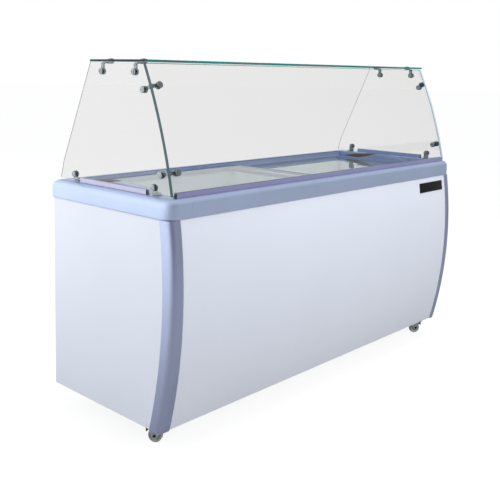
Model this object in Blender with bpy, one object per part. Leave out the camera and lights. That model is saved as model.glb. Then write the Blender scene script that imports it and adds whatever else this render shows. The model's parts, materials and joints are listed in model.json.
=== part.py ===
"""Ice-cream dipping cabinet: a chest freezer with two flat sliding glass lids and
a glass guard over the serving well, standing on four swivel casters.

Frame: metres, +Z up, origin on the floor under the middle of the cabinet.
X runs along the cabinet, -Y is the customer's side, +Y the server's side.
"""

import math

import bmesh
import bpy
from mathutils import Matrix, Vector

# ---------------------------------------------------------------- driving sizes
LENGTH = 1.800              # over the top rim, along X
RIM_FRONT = -0.3258         # the rim's front face, set back behind the bulging front
RIM_REAR = 0.3405
BODY_BOTTOM = 0.086         # underside of the skins
RIM_BOTTOM = 0.804          # lower edge of the rim's skirt
RIM_TOP = 0.871
GUARD_TOP = 1.3155          # upper face of the glass shelf
GAP = 0.0004                # clearance between neighbouring solids

X_RIM = LENGTH / 2
BODY_TOP = 0.826            # skins end inside the hollow rim
SHEET = 0.0015              # coated steel sheet

# front skin: a shallow arc in the Y-Z plane
BULGE_Y = -0.3405           # its foremost line
BULGE_Z = 0.552             # the height of that line
BULGE_RADIUS = 1.732
BULGE_ROWS = 11

# corner posts
POST_X = 0.896
POST_BOTTOM = 0.082         # the posts reach a little below the skins
POST_FRONT_LEG = 0.047
POST_SIDE_LEG = 0.0515
POST_RADIUS = 0.026
POST_WALL = 0.003

# top rim
RIM_ROUND = 0.031           # roundover of the upper outer edge at the ends and rear
RIM_FRONT_ROUND = 0.018     # and along the front
RIM_WALL = 0.0028
RIM_CORNER = 0.048          # plan radius of the front corners; the rear ones are mitred
RIM_SEAM_X = 0.800          # joint between front moulding and end mouldings
MOUTH_X = 0.834             # mouth inside the rim
MOUTH_FRONT = -0.271
MOUTH_REAR = 0.300
RIM_INNER_BOTTOM = 0.828

# inner tub, with a step over the machine compartment
TUB_X = 0.812
TUB_FRONT = -0.252
TUB_REAR = 0.276
TUB_FLOOR = 0.165
STEP_X = 0.470
STEP_FLOOR = 0.452
BAY_X = 0.505               # machine bay starts here
BAY_TOP = 0.415

# sliding lids
LID_LENGTH = 0.852
LID_END = 0.8325            # outer end of a closed lid
LID_FRONT = -0.2677
LID_REAR = 0.2967
LID_HEIGHT = 0.0134
LOWER_LID_Z = 0.8311
UPPER_LID_Z = 0.8475
LID_RAIL = 0.018
LID_CAP = 0.044
LID_PANE = 0.004
ARCH_PEAK_Y = 0.045
ARCH_TOP = {"left": 0.886, "right": 0.875}
ARCH_RADIUS = {"left": 1.2, "right": 0.90}
ARCH_FRONT = -0.160
ARCH_REAR = 0.240
GRIP_FRONT = 0.045
GRIP_DEPTH = 0.018

# glass guard
GLASS = 0.006
SHELF_GLASS = 0.008
GUARD_X = 0.868             # outer faces of the side panes
GUARD_FOOT_Z = 0.877
GUARD_FOOT_Y = -0.3025      # outer face of the front pane at its foot
GUARD_HEAD_Z = GUARD_TOP - SHELF_GLASS - 0.0005
GUARD_HEAD_Y = -0.160
GUARD_RADIUS = 1.80
SHELF_FRONT = -0.166
SHELF_REAR = 0.140
SIDE_REAR = [(0.138, GUARD_HEAD_Z), (0.308, 0.938), (0.326, GUARD_FOOT_Z)]
HOLE_RADIUS = 0.0055

# clamps and feet that hold the glass
PAD_RADIUS = 0.012
BOLT_RADIUS = 0.004
SHELF_CLAMP_Y = {"rear": 0.073, "front": -0.107}
SHELF_CLAMP_Z = 1.2745
SHELF_CLAMP_REACH = 0.042
CORNER_CLAMP_Z = {"upper": 1.231, "lower": 0.951}
CORNER_SIDE_ARM = 0.036
CORNER_FRONT_ARM = 0.032
FOOT_Y = {"rear": 0.235, "front": -0.210}
FOOT_BOLT_Z = 0.898

# casters
CASTERS = {                 # swivel axis, and the way the wheel trails, degrees from +X
    "front_left": (-0.8083, -0.192, 120.0),
    "front_right": (0.8083, -0.192, 335.0),
    "rear_left": (-0.735, 0.205, 120.0),
    "rear_right": (0.735, 0.205, 150.0),
}
CASTER_TRAIL = 0.024
WHEEL_FACETS = 24
AXLE_Z = 0.025
WHEEL_RADIUS = AXLE_Z / math.cos(math.pi / WHEEL_FACETS)    # stands on one facet
WHEEL_HALF_WIDTH = 0.010
CHEEK_IN = 0.0120
CHEEK_OUT = 0.0145
PEDAL_PIVOT = (CASTER_TRAIL + 0.012, 0.0545)

# machine bay
FAN_X, FAN_Y, FAN_Z = 0.695, 0.241, 0.235
GRILLE_X = (0.512, 0.878)
GRILLE_Z = (0.117, 0.403)
GRILLE_LIP = 0.008

COLOURS = {
    "white_steel": ((0.80, 0.84, 0.90), 0.35, 0.0),
    "blue_plastic": ((0.42, 0.48, 0.66), 0.40, 0.0),
    "violet_rail": ((0.32, 0.32, 0.50), 0.45, 0.0),
    "foam": ((0.88, 0.82, 0.62), 0.90, 0.0),
    "liner": ((0.86, 0.90, 0.90), 0.35, 0.0),
    "glass": ((0.70, 0.85, 0.82), 0.05, 0.0),
    "chrome": ((0.75, 0.75, 0.75), 0.15, 1.0),
    "zinc": ((0.55, 0.55, 0.52), 0.40, 1.0),
    "brown": ((0.20, 0.08, 0.05), 0.50, 0.0),
    "black": ((0.02, 0.02, 0.02), 0.45, 0.0),
    "tyre": ((0.55, 0.55, 0.54), 0.60, 0.0),
    "fins": ((0.60, 0.62, 0.64), 0.40, 1.0),
}


# ---------------------------------------------------------------- small helpers
def clear_scene():
    for item in list(bpy.data.objects):
        bpy.data.objects.remove(item, do_unlink=True)


def material(name):
    found = bpy.data.materials.get(name)
    if found:
        return found
    colour, roughness, metallic = COLOURS[name]
    made = bpy.data.materials.new(name)
    made.use_nodes = True
    shader = made.node_tree.nodes["Principled BSDF"]
    shader.inputs["Base Color"].default_value = (*colour, 1.0)
    shader.inputs["Roughness"].default_value = roughness
    shader.inputs["Metallic"].default_value = metallic
    return made


def solid(name, points, faces, finish=None):
    """One object from points and faces, with its faces turned outwards."""
    mesh = bpy.data.meshes.new(name)
    bm = bmesh.new()
    verts = [bm.verts.new(p) for p in points]
    for face in faces:
        bm.faces.new([verts[i] for i in face])
    bmesh.ops.remove_doubles(bm, verts=bm.verts, dist=1e-6)
    bmesh.ops.dissolve_degenerate(bm, edges=bm.edges, dist=1e-6)
    bmesh.ops.recalc_face_normals(bm, faces=bm.faces)
    bm.to_mesh(mesh)
    bm.free()
    made = bpy.data.objects.new(name, mesh)
    bpy.context.scene.collection.objects.link(made)
    if finish:
        mesh.materials.append(material(finish))
        mesh.shade_smooth()
        mesh.set_sharp_from_angle(angle=math.radians(35))
    return made


def loft(name, rings, finish=None):
    """A closed body through rings of equal length, with flat ends."""
    count = len(rings[0])
    points = [p for ring in rings for p in ring]
    faces = [tuple(range(count)),
             tuple((len(rings) - 1) * count + i for i in reversed(range(count)))]
    for row in range(len(rings) - 1):
        for i in range(count):
            j = (i + 1) % count
            faces.append((row * count + i, row * count + j,
                          (row + 1) * count + j, (row + 1) * count + i))
    return solid(name, points, faces, finish)


def place(axis, along, a, b):
    """A point from a position along one axis and the other two in X, Y, Z order."""
    return {"X": (along, a, b), "Y": (a, along, b), "Z": (a, b, along)}[axis]


def prism(name, axis, low, high, outline, finish=None):
    rings = [[place(axis, at, a, b) for a, b in outline] for at in (low, high)]
    return loft(name, rings, finish)


def block(name, low, high, finish=None):
    outline = [(low[0], low[1]), (high[0], low[1]), (high[0], high[1]), (low[0], high[1])]
    return prism(name, "Z", low[2], high[2], outline, finish)


def arc(centre, radius, start, end, steps):
    """Points on an arc, angles in degrees."""
    turns = [math.radians(start + (end - start) * i / steps) for i in range(steps + 1)]
    return [(centre[0] + radius * math.cos(t), centre[1] + radius * math.sin(t))
            for t in turns]


def rod(name, axis, centre, radius, low, high, steps=16, finish=None):
    """A cylinder along an axis; centre gives the other two coordinates."""
    return prism(name, axis, low, high, arc(centre, radius, 0, 360, steps)[:-1], finish)


def turned(name, profile, steps, finish=None):
    """A body turned about Z from (radius, height) points, closed on the axis or as a ring."""
    points, faces = [], []
    for i in range(steps):
        turn = 2 * math.pi * (i + 0.5) / steps
        points += [(r * math.cos(turn), r * math.sin(turn), h) for r, h in profile]
    count = len(profile)
    ring = min(r for r, _ in profile) > 1e-6
    for i in range(steps):
        k = (i + 1) % steps
        for j in range(count if ring else count - 1):
            m = (j + 1) % count
            faces.append((i * count + j, k * count + j, k * count + m, i * count + m))
    return solid_turned(name, points, faces, finish)


def solid_turned(name, points, faces, finish):
    """As solid, but drops the corners that meet on the axis from each face."""
    clean = []
    for face in faces:
        kept = []
        for index in face:
            if all((Vector(points[index]) - Vector(points[other])).length > 1e-7
                   for other in kept):
                kept.append(index)
        if len(kept) > 2:
            clean.append(tuple(kept))
    return solid(name, points, clean, finish)


def combine(target, others, operation):
    """Applies exact Booleans to target with the others, which are used up."""
    for other in others:
        step = target.modifiers.new(operation.lower(), "BOOLEAN")
        step.operation = operation
        step.solver = "EXACT"
        step.object = other
    graph = bpy.context.evaluated_depsgraph_get()
    mesh = bpy.data.meshes.new_from_object(target.evaluated_get(graph))
    target.modifiers.clear()
    target.data = mesh
    for other in others:
        bpy.data.objects.remove(other, do_unlink=True)
    mesh.shade_smooth()
    mesh.set_sharp_from_angle(angle=math.radians(35))
    return target


def cut(target, *cutters):
    return combine(target, cutters, "DIFFERENCE")


def join(target, *pieces):
    return combine(target, pieces, "UNION")


def finish_as(target, finish):
    target.data.materials.clear()
    target.data.materials.append(material(finish))
    return target


def bulge(z):
    """Y of the corner posts' front face at height z."""
    drop = z - BULGE_Z
    return BULGE_Y + BULGE_RADIUS - math.sqrt(BULGE_RADIUS ** 2 - drop ** 2)


def rows(low, high, count):
    return [low + (high - low) * i / (count - 1) for i in range(count)]


def bulged(name, front, rear, low, high, finish, count=BULGE_ROWS):
    """Sweeps a plan outline up the bulge. The front points are (x, depth behind the
    post's face); the rear points are plain (x, y)."""
    rings = [[(x, bulge(z) + v, z) for x, v in front] + [(x, y, z) for x, y in rear]
             for z in rows(low, high, count)]
    return loft(name, rings, finish)


# ---------------------------------------------------------------- cabinet skins
def build_skins():
    edge = POST_X - POST_FRONT_LEG - GAP
    bulged("front_panel", [(-edge, SHEET), (edge, SHEET), (edge, 2 * SHEET), (-edge, 2 * SHEET)],
           [], BODY_BOTTOM, BODY_TOP, "white_steel")

    for side, s in (("left", -1), ("right", 1)):
        outer = [(s * POST_X, POST_SIDE_LEG)]
        inner = [(s * (POST_X - POST_WALL), POST_SIDE_LEG)]
        for turn in rows(0, 90, 7):
            c, d = math.cos(math.radians(turn)), math.sin(math.radians(turn))
            for line, radius in ((outer, POST_RADIUS), (inner, POST_RADIUS - POST_WALL)):
                line.append((s * (POST_X - POST_RADIUS + radius * c), POST_RADIUS - radius * d))
        outer.append((s * (POST_X - POST_FRONT_LEG), 0.0))
        inner.append((s * (POST_X - POST_FRONT_LEG), POST_WALL))
        bulged("corner_post_" + side, outer + inner[::-1], [], POST_BOTTOM,
               RIM_BOTTOM - GAP, "blue_plastic")

        front = [(bulge(z) + POST_SIDE_LEG + GAP, z)
                 for z in rows(BODY_BOTTOM, BODY_TOP, BULGE_ROWS)]
        face = X_RIM - 0.006
        panel = prism("end_panel_" + side, "X", s * (face - SHEET), s * face,
                      front + [(0.331, BODY_TOP), (0.331, BODY_BOTTOM)], "white_steel")
        if s > 0:
            slots = [block("slot", (face - 0.01, -0.19, z), (face + 0.01, 0.09, z + 0.008))
                     for z in rows(0.15, 0.34, 9)]
            cut(panel, *slots)

    rear = block("rear_panel", (-0.892, 0.3295, BODY_BOTTOM), (0.892, 0.331, BODY_TOP),
                 "white_steel")
    cut(rear, block("window", (GRILLE_X[0] + GRILLE_LIP, 0.32, GRILLE_Z[0] + GRILLE_LIP),
                    (GRILLE_X[1] - GRILLE_LIP, 0.34, GRILLE_Z[1] - GRILLE_LIP)))

    def pan_outline(inset):
        side, nose = 0.8915 - inset, 0.857 - 0.4 * inset
        return [(-side, 0.329 - inset), (-side, -0.228), (-nose, -0.268 + inset),
                (nose, -0.268 + inset), (side, -0.228), (side, 0.329 - inset)]

    pan = prism("base_pan", "Z", 0.088, 0.104, pan_outline(0), "zinc")
    cut(pan, prism("hollow", "Z", 0.088 + SHEET, 0.12, pan_outline(SHEET)))


def tub_outline(grow, top):
    """Side view of the tub's step, grown outwards by an amount."""
    return [(-TUB_X - grow, TUB_FLOOR - grow), (STEP_X + grow, TUB_FLOOR - grow),
            (STEP_X + grow, STEP_FLOOR - grow), (TUB_X + grow, STEP_FLOOR - grow),
            (TUB_X + grow, top), (-TUB_X - grow, top)]


def build_tub():
    foam_top = BODY_TOP - 0.001
    foam = bulged("foam_insulation", [(-0.889, 0.056), (-0.855, 0.0165), (0.855, 0.0165),
                                      (0.889, 0.056)], [(0.889, 0.327), (-0.889, 0.327)],
                  0.0900, foam_top, "foam")
    room = SHEET + GAP
    cut(foam,
        prism("tub_room", "Y", TUB_FRONT - room, TUB_REAR + room, tub_outline(room, 0.9)),
        block("bay_room", (BAY_X, -0.245, 0.05), (0.95, 0.40, BAY_TOP)))

    liner = prism("tub_liner", "Y", TUB_FRONT - SHEET, TUB_REAR + SHEET,
                  tub_outline(SHEET, foam_top + 0.001), "liner")
    join(liner, block("flange", (-0.830, -0.267, foam_top + GAP), (0.830, 0.296, 0.8272)))
    cut(liner, prism("tub_inside", "Y", TUB_FRONT, TUB_REAR, tub_outline(0, 0.9)))


# ---------------------------------------------------------------- top rim
def rim_section(outer, inward, inner, spread, round_over):
    """The rim's hollow section between an outer and an inner plan point. spread is the
    way from the inner edge into the wall, round_over the upper outer edge's radius."""
    shoulder = RIM_TOP - round_over

    def from_outer(distance, z):
        return (outer[0] + inward[0] * distance, outer[1] + inward[1] * distance, z)

    def from_inner(distance, z):
        return (inner[0] + spread[0] * distance, inner[1] + spread[1] * distance, z)

    def roundover(wall):
        radius = round_over - wall
        return [from_outer(wall + radius * (1 - math.cos(t)), shoulder + radius * math.sin(t))
                for t in (math.radians(90 * i / 6) for i in range(7))]

    return ([from_outer(0, RIM_BOTTOM)] + roundover(0)
            + [from_inner(0.002, RIM_TOP), from_inner(0, RIM_TOP - 0.002),
               from_inner(0, RIM_INNER_BOTTOM), from_inner(RIM_WALL, RIM_INNER_BOTTOM),
               from_inner(RIM_WALL, RIM_TOP - RIM_WALL)]
            + roundover(RIM_WALL)[::-1] + [from_outer(RIM_WALL, RIM_BOTTOM)])


def build_rim():
    seam = RIM_SEAM_X
    front = ((0, 1), MOUTH_FRONT, (0, -1), RIM_FRONT_ROUND)
    rear = ((0, -1), MOUTH_REAR, (0, 1), RIM_ROUND)

    def straight(x, y_out, inward, y_in, spread, round_over):
        return rim_section((x, y_out), inward, (x, y_in), spread, round_over)

    for name, y_out, end in (("rim_front", RIM_FRONT, front), ("rim_rear", RIM_REAR, rear)):
        loft(name, [straight(x, y_out, *end) for x in (-seam + GAP, seam - GAP)],
             "blue_plastic")

    for side, s in (("left", -1), ("right", 1)):
        stations = [straight(s * seam, RIM_FRONT, *front)]
        for turn in rows(-90, 0, 7):
            c, d = math.cos(math.radians(turn)), math.sin(math.radians(turn))
            outer = (s * (X_RIM - RIM_CORNER + RIM_CORNER * c),
                     RIM_FRONT + RIM_CORNER + RIM_CORNER * d)
            round_over = RIM_ROUND + (RIM_FRONT_ROUND - RIM_ROUND) * (turn / -90) ** 2
            stations.append(rim_section(outer, (-s * c, -d), (s * MOUTH_X, MOUTH_FRONT),
                                        (s, -1), round_over))
        stations.append(rim_section((s * X_RIM, RIM_REAR), (-s, -1), (s * MOUTH_X, MOUTH_REAR),
                                    (s, 1), RIM_ROUND))
        stations.append(straight(s * seam, RIM_REAR, *rear))
        loft("rim_" + side, stations, "blue_plastic")


# ---------------------------------------------------------------- lids and tracks
def build_tracks():
    """Each track is a sill with a wall and a shelf: the lower lid runs on the sill and
    the upper lid on the shelf."""
    section = [(0.0183, 0.8276), (0.0004, 0.8276), (0.0004, 0.8660), (0.0028, 0.8660),
               (0.0028, 0.8472), (0.0128, 0.8472), (0.0128, 0.8452), (0.0028, 0.8452),
               (0.0028, 0.8308), (0.0183, 0.8308)]
    for name, edge, way in (("lid_track_front", MOUTH_FRONT, 1),
                            ("lid_track_rear", MOUTH_REAR, -1)):
        prism(name, "X", -MOUTH_X + GAP, MOUTH_X - GAP,
              [(edge + way * v, z) for v, z in section], "blue_plastic")


def arch_z(side, y):
    return ARCH_TOP[side] - (y - ARCH_PEAK_Y) ** 2 / (2 * ARCH_RADIUS[side])


def build_lid(side, s, low, stile):
    """One sliding lid: a frame with a raised handle at its outer end, a grip let into
    the handle, and a pane lying in the frame's rebate."""
    high = low + LID_HEIGHT
    x_out, x_in = s * LID_END, s * (LID_END - LID_LENGTH)
    x_cap = s * (LID_END - LID_CAP)

    def span(a, b, y0, y1, z0, z1, name, finish=None):
        return block(name, (min(a, b), y0, z0), (max(a, b), y1, z1), finish)

    frame = span(x_out, x_in, LID_FRONT, LID_REAR, low, high, f"lid_frame_{side}",
                 "blue_plastic")
    window = (x_cap, x_in + s * stile, LID_FRONT + LID_RAIL, LID_REAR - LID_RAIL)
    lip = 0.005
    cut(frame,
        span(window[0], window[1], window[2], window[3], high - LID_PANE - 0.001, high + 0.05,
             "rebate"),
        span(window[0] - s * lip, window[1] + s * lip, window[2] + lip, window[3] - lip,
             low - 0.05, high + 0.05, "window"))

    reach = math.sqrt(2 * ARCH_RADIUS[side] * (ARCH_TOP[side] - high - 0.001))
    front, rear = max(ARCH_FRONT, ARCH_PEAK_Y - reach), min(ARCH_REAR, ARCH_PEAK_Y + reach)
    bed = [(y, grip_bed(side, y, rear, high)) for y in rows(GRIP_FRONT, rear - 0.004, 7)]
    crest = [(y, arch_z(side, y)) for y in rows(front, GRIP_FRONT, 8)]
    side_low, side_high = sorted((x_out - s * 0.0006, x_cap + s * 0.0006))
    join(frame, prism("arch", "X", side_low, side_high,
                      [(rear, high - 0.003), (front, high - 0.003)] + crest + bed[1:]
                      + [(rear, arch_z(side, rear))]))
    finish_as(frame, "blue_plastic")

    ends = rows(GRIP_FRONT + 0.006, rear - 0.012, 7)
    prism(f"lid_grip_{side}", "X", side_low, side_high,
          [(y, arch_z(side, y)) for y in ends]
          + [(y, grip_bed(side, y, rear, high) + GAP) for y in reversed(ends)], "brown")

    span(window[0] - s * GAP, window[1] + s * GAP, window[2] + GAP, window[3] - GAP,
         high - LID_PANE - 0.001 + GAP, high - 0.0006, f"lid_pane_{side}", "glass")


def grip_bed(side, y, rear, high):
    """Underside of the grip: it sinks into the handle in the middle of its length."""
    share = (y - GRIP_FRONT) / (rear - 0.004 - GRIP_FRONT)
    depth = min(GRIP_DEPTH, 0.6 * (ARCH_TOP[side] - high))
    return arch_z(side, y) - depth * math.sin(math.pi * share)


# ---------------------------------------------------------------- glass guard
def guard_centre():
    """Centre of the arc through the front pane's foot and head."""
    foot, head = Vector((GUARD_FOOT_Y, GUARD_FOOT_Z)), Vector((GUARD_HEAD_Y, GUARD_HEAD_Z))
    chord = head - foot
    away = math.sqrt(GUARD_RADIUS ** 2 - (chord.length / 2) ** 2)
    normal = Vector((chord.y, -chord.x)).normalized()
    return (foot + head) / 2 + normal * away


def guard_point(turn, depth):
    """Y, Z on the front pane at an angle on its arc, a depth behind its outer face."""
    centre = guard_centre()
    radius = GUARD_RADIUS - depth
    return (centre.x - radius * math.cos(turn), centre.y + radius * math.sin(turn))


def guard_turn(z, depth=0.0):
    centre = guard_centre()
    return math.asin((z - centre.y) / (GUARD_RADIUS - depth))


def clamp_frame(s, z):
    """Frame in the glass corner: columns run inwards from the side pane, inwards from
    the front pane, and up along it."""
    turn = guard_turn(z, GLASS)
    y, z = guard_point(turn, GLASS)
    inward = Vector((0, math.cos(turn), -math.sin(turn)))
    up = Vector((0, math.sin(turn), math.cos(turn)))
    across = Vector((-s, 0, 0))
    return Matrix.Translation((s * (GUARD_X - GLASS), y, z)) @ Matrix(
        (across, inward, up)).transposed().to_4x4()


def glass_feet():
    return [(y, FOOT_BOLT_Z) for y in FOOT_Y.values()]


def build_glass():
    pane_rows = rows(guard_turn(GUARD_FOOT_Z), guard_turn(GUARD_HEAD_Z) - 0.0016, 9)
    outer = [guard_point(t, 0) for t in pane_rows]
    inner = [guard_point(t, GLASS) for t in pane_rows]
    front = prism("guard_front_glass", "X", -GUARD_X, GUARD_X, outer + inner[::-1], "glass")
    holes = []
    for s in (-1, 1):
        for z in CORNER_CLAMP_Z.values():
            hole = rod("hole", "Y", (0, 0), HOLE_RADIUS, -0.02, 0.02, 12)
            hole.matrix_world = clamp_frame(s, z) @ Matrix.Translation(
                (CORNER_FRONT_ARM, 0, 0))
            holes.append(hole)
    cut(front, *holes)

    edge = [guard_point(t, GLASS + 0.0006)
            for t in rows(guard_turn(GUARD_FOOT_Z), guard_turn(GUARD_HEAD_Z) - 0.002, 9)]
    edge[0] = (edge[0][0], GUARD_FOOT_Z)
    for side, s in (("left", -1), ("right", 1)):
        pane = prism("guard_side_glass_" + side, "X", s * (GUARD_X - GLASS), s * GUARD_X,
                     edge + SIDE_REAR, "glass")
        spots = [(y, SHELF_CLAMP_Z) for y in SHELF_CLAMP_Y.values()] + glass_feet()
        for z in CORNER_CLAMP_Z.values():
            point = clamp_frame(s, z) @ Vector((0, CORNER_SIDE_ARM, 0))
            spots.append((point.y, point.z))
        cut(pane, *[rod("hole", "X", spot, HOLE_RADIUS, s * GUARD_X - 0.02,
                        s * GUARD_X + 0.02, 12) for spot in spots])

    shelf = block("guard_top_glass", (-GUARD_X, SHELF_FRONT, GUARD_TOP - SHELF_GLASS),
                  (GUARD_X, SHELF_REAR, GUARD_TOP), "glass")
    cut(shelf, *[rod("hole", "Z", (s * (GUARD_X - SHELF_CLAMP_REACH), y), HOLE_RADIUS,
                     GUARD_TOP - 0.02, GUARD_TOP + 0.01, 12)
                 for s in (-1, 1) for y in SHELF_CLAMP_Y.values()])


def build_glass_rails():
    foot, high, floor = RIM_TOP + GAP, 0.888, 0.8746
    front = [(-0.3080, foot), (-0.2900, foot), (-0.2900, high), (-0.2930, high),
             (-0.2930, floor), (-0.3040, floor), (-0.3040, high), (-0.3080, high)]
    prism("glass_rail_front", "X", -0.852, 0.852, front, "violet_rail")
    for side, s in (("left", -1), ("right", 1)):
        section = [(0.8570, foot), (0.8730, foot), (0.8730, high), (0.8688, high),
                   (0.8688, floor), (0.8612, floor), (0.8612, high), (0.8570, high)]
        prism("glass_rail_" + side, "Y", -0.178, 0.195,
              [(s * x, z) for x, z in section], "violet_rail")


def build_shelf_clamp(name, s, y):
    """Clamps a side pane between two round pads and carries the shelf on a short arm."""
    face = GUARD_X - GLASS
    under = GUARD_TOP - SHELF_GLASS
    arm_x = GUARD_X - SHELF_CLAMP_REACH
    spot = (y, SHELF_CLAMP_Z)

    def across(radius, a, b):
        return rod("piece", "X", spot, radius, s * a, s * b)

    def upright(radius, a, b):
        return rod("piece", "Z", (s * arm_x, y), radius, a, b)

    def bar(x0, x1, z0, z1):
        low, high = sorted((s * x0, s * x1))
        return block("piece", (low, y - 0.008, z0), (high, y + 0.008, z1))

    clamp = rod(name, "X", spot, PAD_RADIUS, s * (face - GAP), s * (face - 0.010), 16, "chrome")
    join(clamp, across(BOLT_RADIUS, face - 0.002, GUARD_X + 0.002),
         across(PAD_RADIUS, GUARD_X + GAP, GUARD_X + 0.0065),
         bar(face - 0.0012, face - 0.0088, SHELF_CLAMP_Z, under - 0.0008),
         bar(face - 0.0012, arm_x, under - 0.0065, under - 0.0008),
         upright(PAD_RADIUS, under - 0.0065, under - GAP),
         upright(BOLT_RADIUS, under - 0.002, GUARD_TOP + 0.002),
         upright(PAD_RADIUS, GUARD_TOP + GAP, GUARD_TOP + 0.0040))


def build_corner_clamp(name, s, z):
    """Joins a side pane to the front pane: a pair of pads on each, and an angle piece
    between them inside the corner."""
    frame = clamp_frame(s, z)

    def set_in(piece):
        piece.matrix_world = frame
        return piece

    def on_side(radius, a, b):
        return set_in(rod("piece", "X", (CORNER_SIDE_ARM, 0), radius, a, b))

    def on_front(radius, a, b):
        return set_in(rod("piece", "Y", (CORNER_FRONT_ARM, 0), radius, a, b))

    def bar(low, high):
        return set_in(block("piece", low, high))

    clamp = rod(name, "X", (CORNER_SIDE_ARM, 0), PAD_RADIUS, GAP, 0.010, 16, "chrome")
    clamp.matrix_world = frame
    join(clamp, on_side(BOLT_RADIUS, -GLASS - 0.002, 0.002),
         on_side(PAD_RADIUS, -GLASS - 0.0075, -GLASS - GAP),
         bar((0.0014, 0.0030, -0.007), (0.0088, CORNER_SIDE_ARM, 0.007)),
         bar((0.0014, 0.0014, -0.0065), (CORNER_FRONT_ARM, 0.0088, 0.0065)),
         on_front(PAD_RADIUS, 0.0010, 0.010),
         on_front(BOLT_RADIUS, -GLASS - 0.002, 0.002),
         on_front(PAD_RADIUS, -GLASS - 0.0075, -GLASS - 0.0006))


def build_glass_foot(name, s, y):
    """An upright strap on a foot, bolted through the side pane to a round knob."""
    face = GUARD_X - GLASS
    spot = (y, FOOT_BOLT_Z)
    base = RIM_TOP + GAP

    def bar(x0, x1, z0, z1):
        low, high = sorted((s * x0, s * x1))
        return block("piece", (low, y - 0.0125, z0), (high, y + 0.0125, z1))

    def across(radius, a, b):
        return rod("piece", "X", spot, radius, s * a, s * b)

    foot = rod(name, "X", spot, 0.0125, s * (face - GAP), s * (face - 0.0044), 16, "chrome")
    join(foot, bar(face - GAP, face - 0.0044, base, FOOT_BOLT_Z),
         bar(face - 0.0040, 0.838, base, base + 0.004),
         across(0.009, face - 0.003, face - 0.0104),
         across(BOLT_RADIUS, face - 0.002, GUARD_X + 0.002),
         across(PAD_RADIUS, GUARD_X + GAP, GUARD_X + 0.0090))


def build_clamps():
    for side, s in (("left", -1), ("right", 1)):
        for end, y in SHELF_CLAMP_Y.items():
            build_shelf_clamp(f"shelf_clamp_{side}_{end}", s, y)
        for level, z in CORNER_CLAMP_Z.items():
            build_corner_clamp(f"corner_clamp_{side}_{level}", s, z)
        for end, y in FOOT_Y.items():
            build_glass_foot(f"glass_foot_{side}_{end}", s, y)


def build_badge():
    bulged("badge_plate", [(0.619, -0.0008), (0.820, -0.0008), (0.820, SHEET - GAP),
                           (0.619, SHEET - GAP)], [], 0.738, 0.782, "black", 4)


# ---------------------------------------------------------------- machine bay
def build_compressor():
    body = turned("compressor", [(0, 0.0), (0.060, 0.0), (0.076, 0.020), (0.076, 0.110),
                                 (0.070, 0.150), (0.048, 0.176), (0, 0.186)], 20, "black")
    body.data.transform(Matrix.Translation((0.69, -0.08, 0.104)))
    join(body, block("feet", (0.59, -0.15, 0.0900), (0.79, -0.01, 0.108)))
    finish_as(body, "black")


def build_condenser():
    """A block of upright fins on a spine."""
    fins, low, high, front, rear = 12, 0.572, 0.852, 0.2575, 0.3105
    pitch = (high - low) / (fins - 0.5)
    outline = []
    for i in range(fins):
        x = low + i * pitch
        outline += [(x, rear), (x + pitch / 2, rear)]
        if i < fins - 1:
            outline += [(x + pitch / 2, front + 0.015), (x + pitch, front + 0.015)]
    outline += [(high, front), (low, front)]
    prism("condenser", "Z", 0.0900, 0.375, outline, "fins")


def build_fan():
    shroud = block("fan_shroud", (0.575, 0.2245, 0.0900), (0.815, 0.2285, 0.360), "zinc")
    cut(shroud, rod("hole", "Y", (FAN_X, FAN_Z), 0.100, 0.2, 0.25, 32))
    motor = rod("motor", "Y", (FAN_X, FAN_Z), 0.034, 0.165, 0.2248, 20)
    spokes = []
    for i in range(3):
        spoke = block("spoke", (0.0, 0.2190, -0.006), (0.108, 0.2250, 0.006))
        spoke.matrix_world = Matrix.Translation((FAN_X, 0, FAN_Z)) @ Matrix.Rotation(
            math.radians(90 + 120 * i), 4, "Y")
        spokes.append(spoke)
    join(shroud, motor, *spokes)
    finish_as(shroud, "zinc")

    fan = rod("fan_rotor", "Y", (0, 0), 0.022, -0.0112, 0.0112, 20, "black")
    blades = []
    for i in range(5):
        blade = block("blade", (0.010, -0.0010, -0.022), (0.094, 0.0010, 0.022))
        blade.matrix_world = (Matrix.Rotation(math.radians(72 * i), 4, "Y")
                              @ Matrix.Rotation(math.radians(62), 4, "X")
                              @ Matrix.Rotation(math.radians(90), 4, "X"))
        blades.append(blade)
    join(fan, *blades)
    finish_as(fan, "black")
    fan.location = (FAN_X, FAN_Y, FAN_Z)


def build_grille():
    """A tray behind the rear panel's window, with air slots beside the control."""
    grille = block("service_grille", (GRILLE_X[0], 0.3155, GRILLE_Z[0]),
                   (GRILLE_X[1], 0.3291, GRILLE_Z[1]), "blue_plastic")
    cut(grille, block("tray", (GRILLE_X[0] + 0.005, 0.3185, GRILLE_Z[0] + 0.005),
                      (GRILLE_X[1] - 0.005, 0.34, GRILLE_Z[1] - 0.005)))
    slots = [block("slot", (0.600, 0.31, z), (0.860, 0.325, z + 0.010))
             for z in rows(0.145, 0.365, 11)]
    cut(grille, rod("gland_hole", "Y", (0.545, 0.160), 0.0080, 0.31, 0.33, 16),
        rod("knob_hole", "Y", (0.545, 0.340), 0.0040, 0.31, 0.33, 12), *slots)

    gland = rod("cord_gland", "Y", (0.545, 0.160), 0.0076, 0.3085, 0.3192, 16, "black")
    join(gland, rod("collar", "Y", (0.545, 0.160), 0.0120, 0.3190, 0.3300, 16),
         rod("nut", "Y", (0.545, 0.160), 0.0120, 0.3085, 0.3150, 6))
    finish_as(gland, "black")

    knob = rod("thermostat_knob", "Y", (0, 0), 0.018, 0.3190, 0.3340, 24, "black")
    join(knob, rod("stem", "Y", (0, 0), 0.0036, 0.3090, 0.3200, 12),
         block("pointer", (-0.003, 0.3300, 0.004), (0.003, 0.3355, 0.017)))
    finish_as(knob, "black")
    knob.location = (0.545, 0, 0.340)


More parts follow.
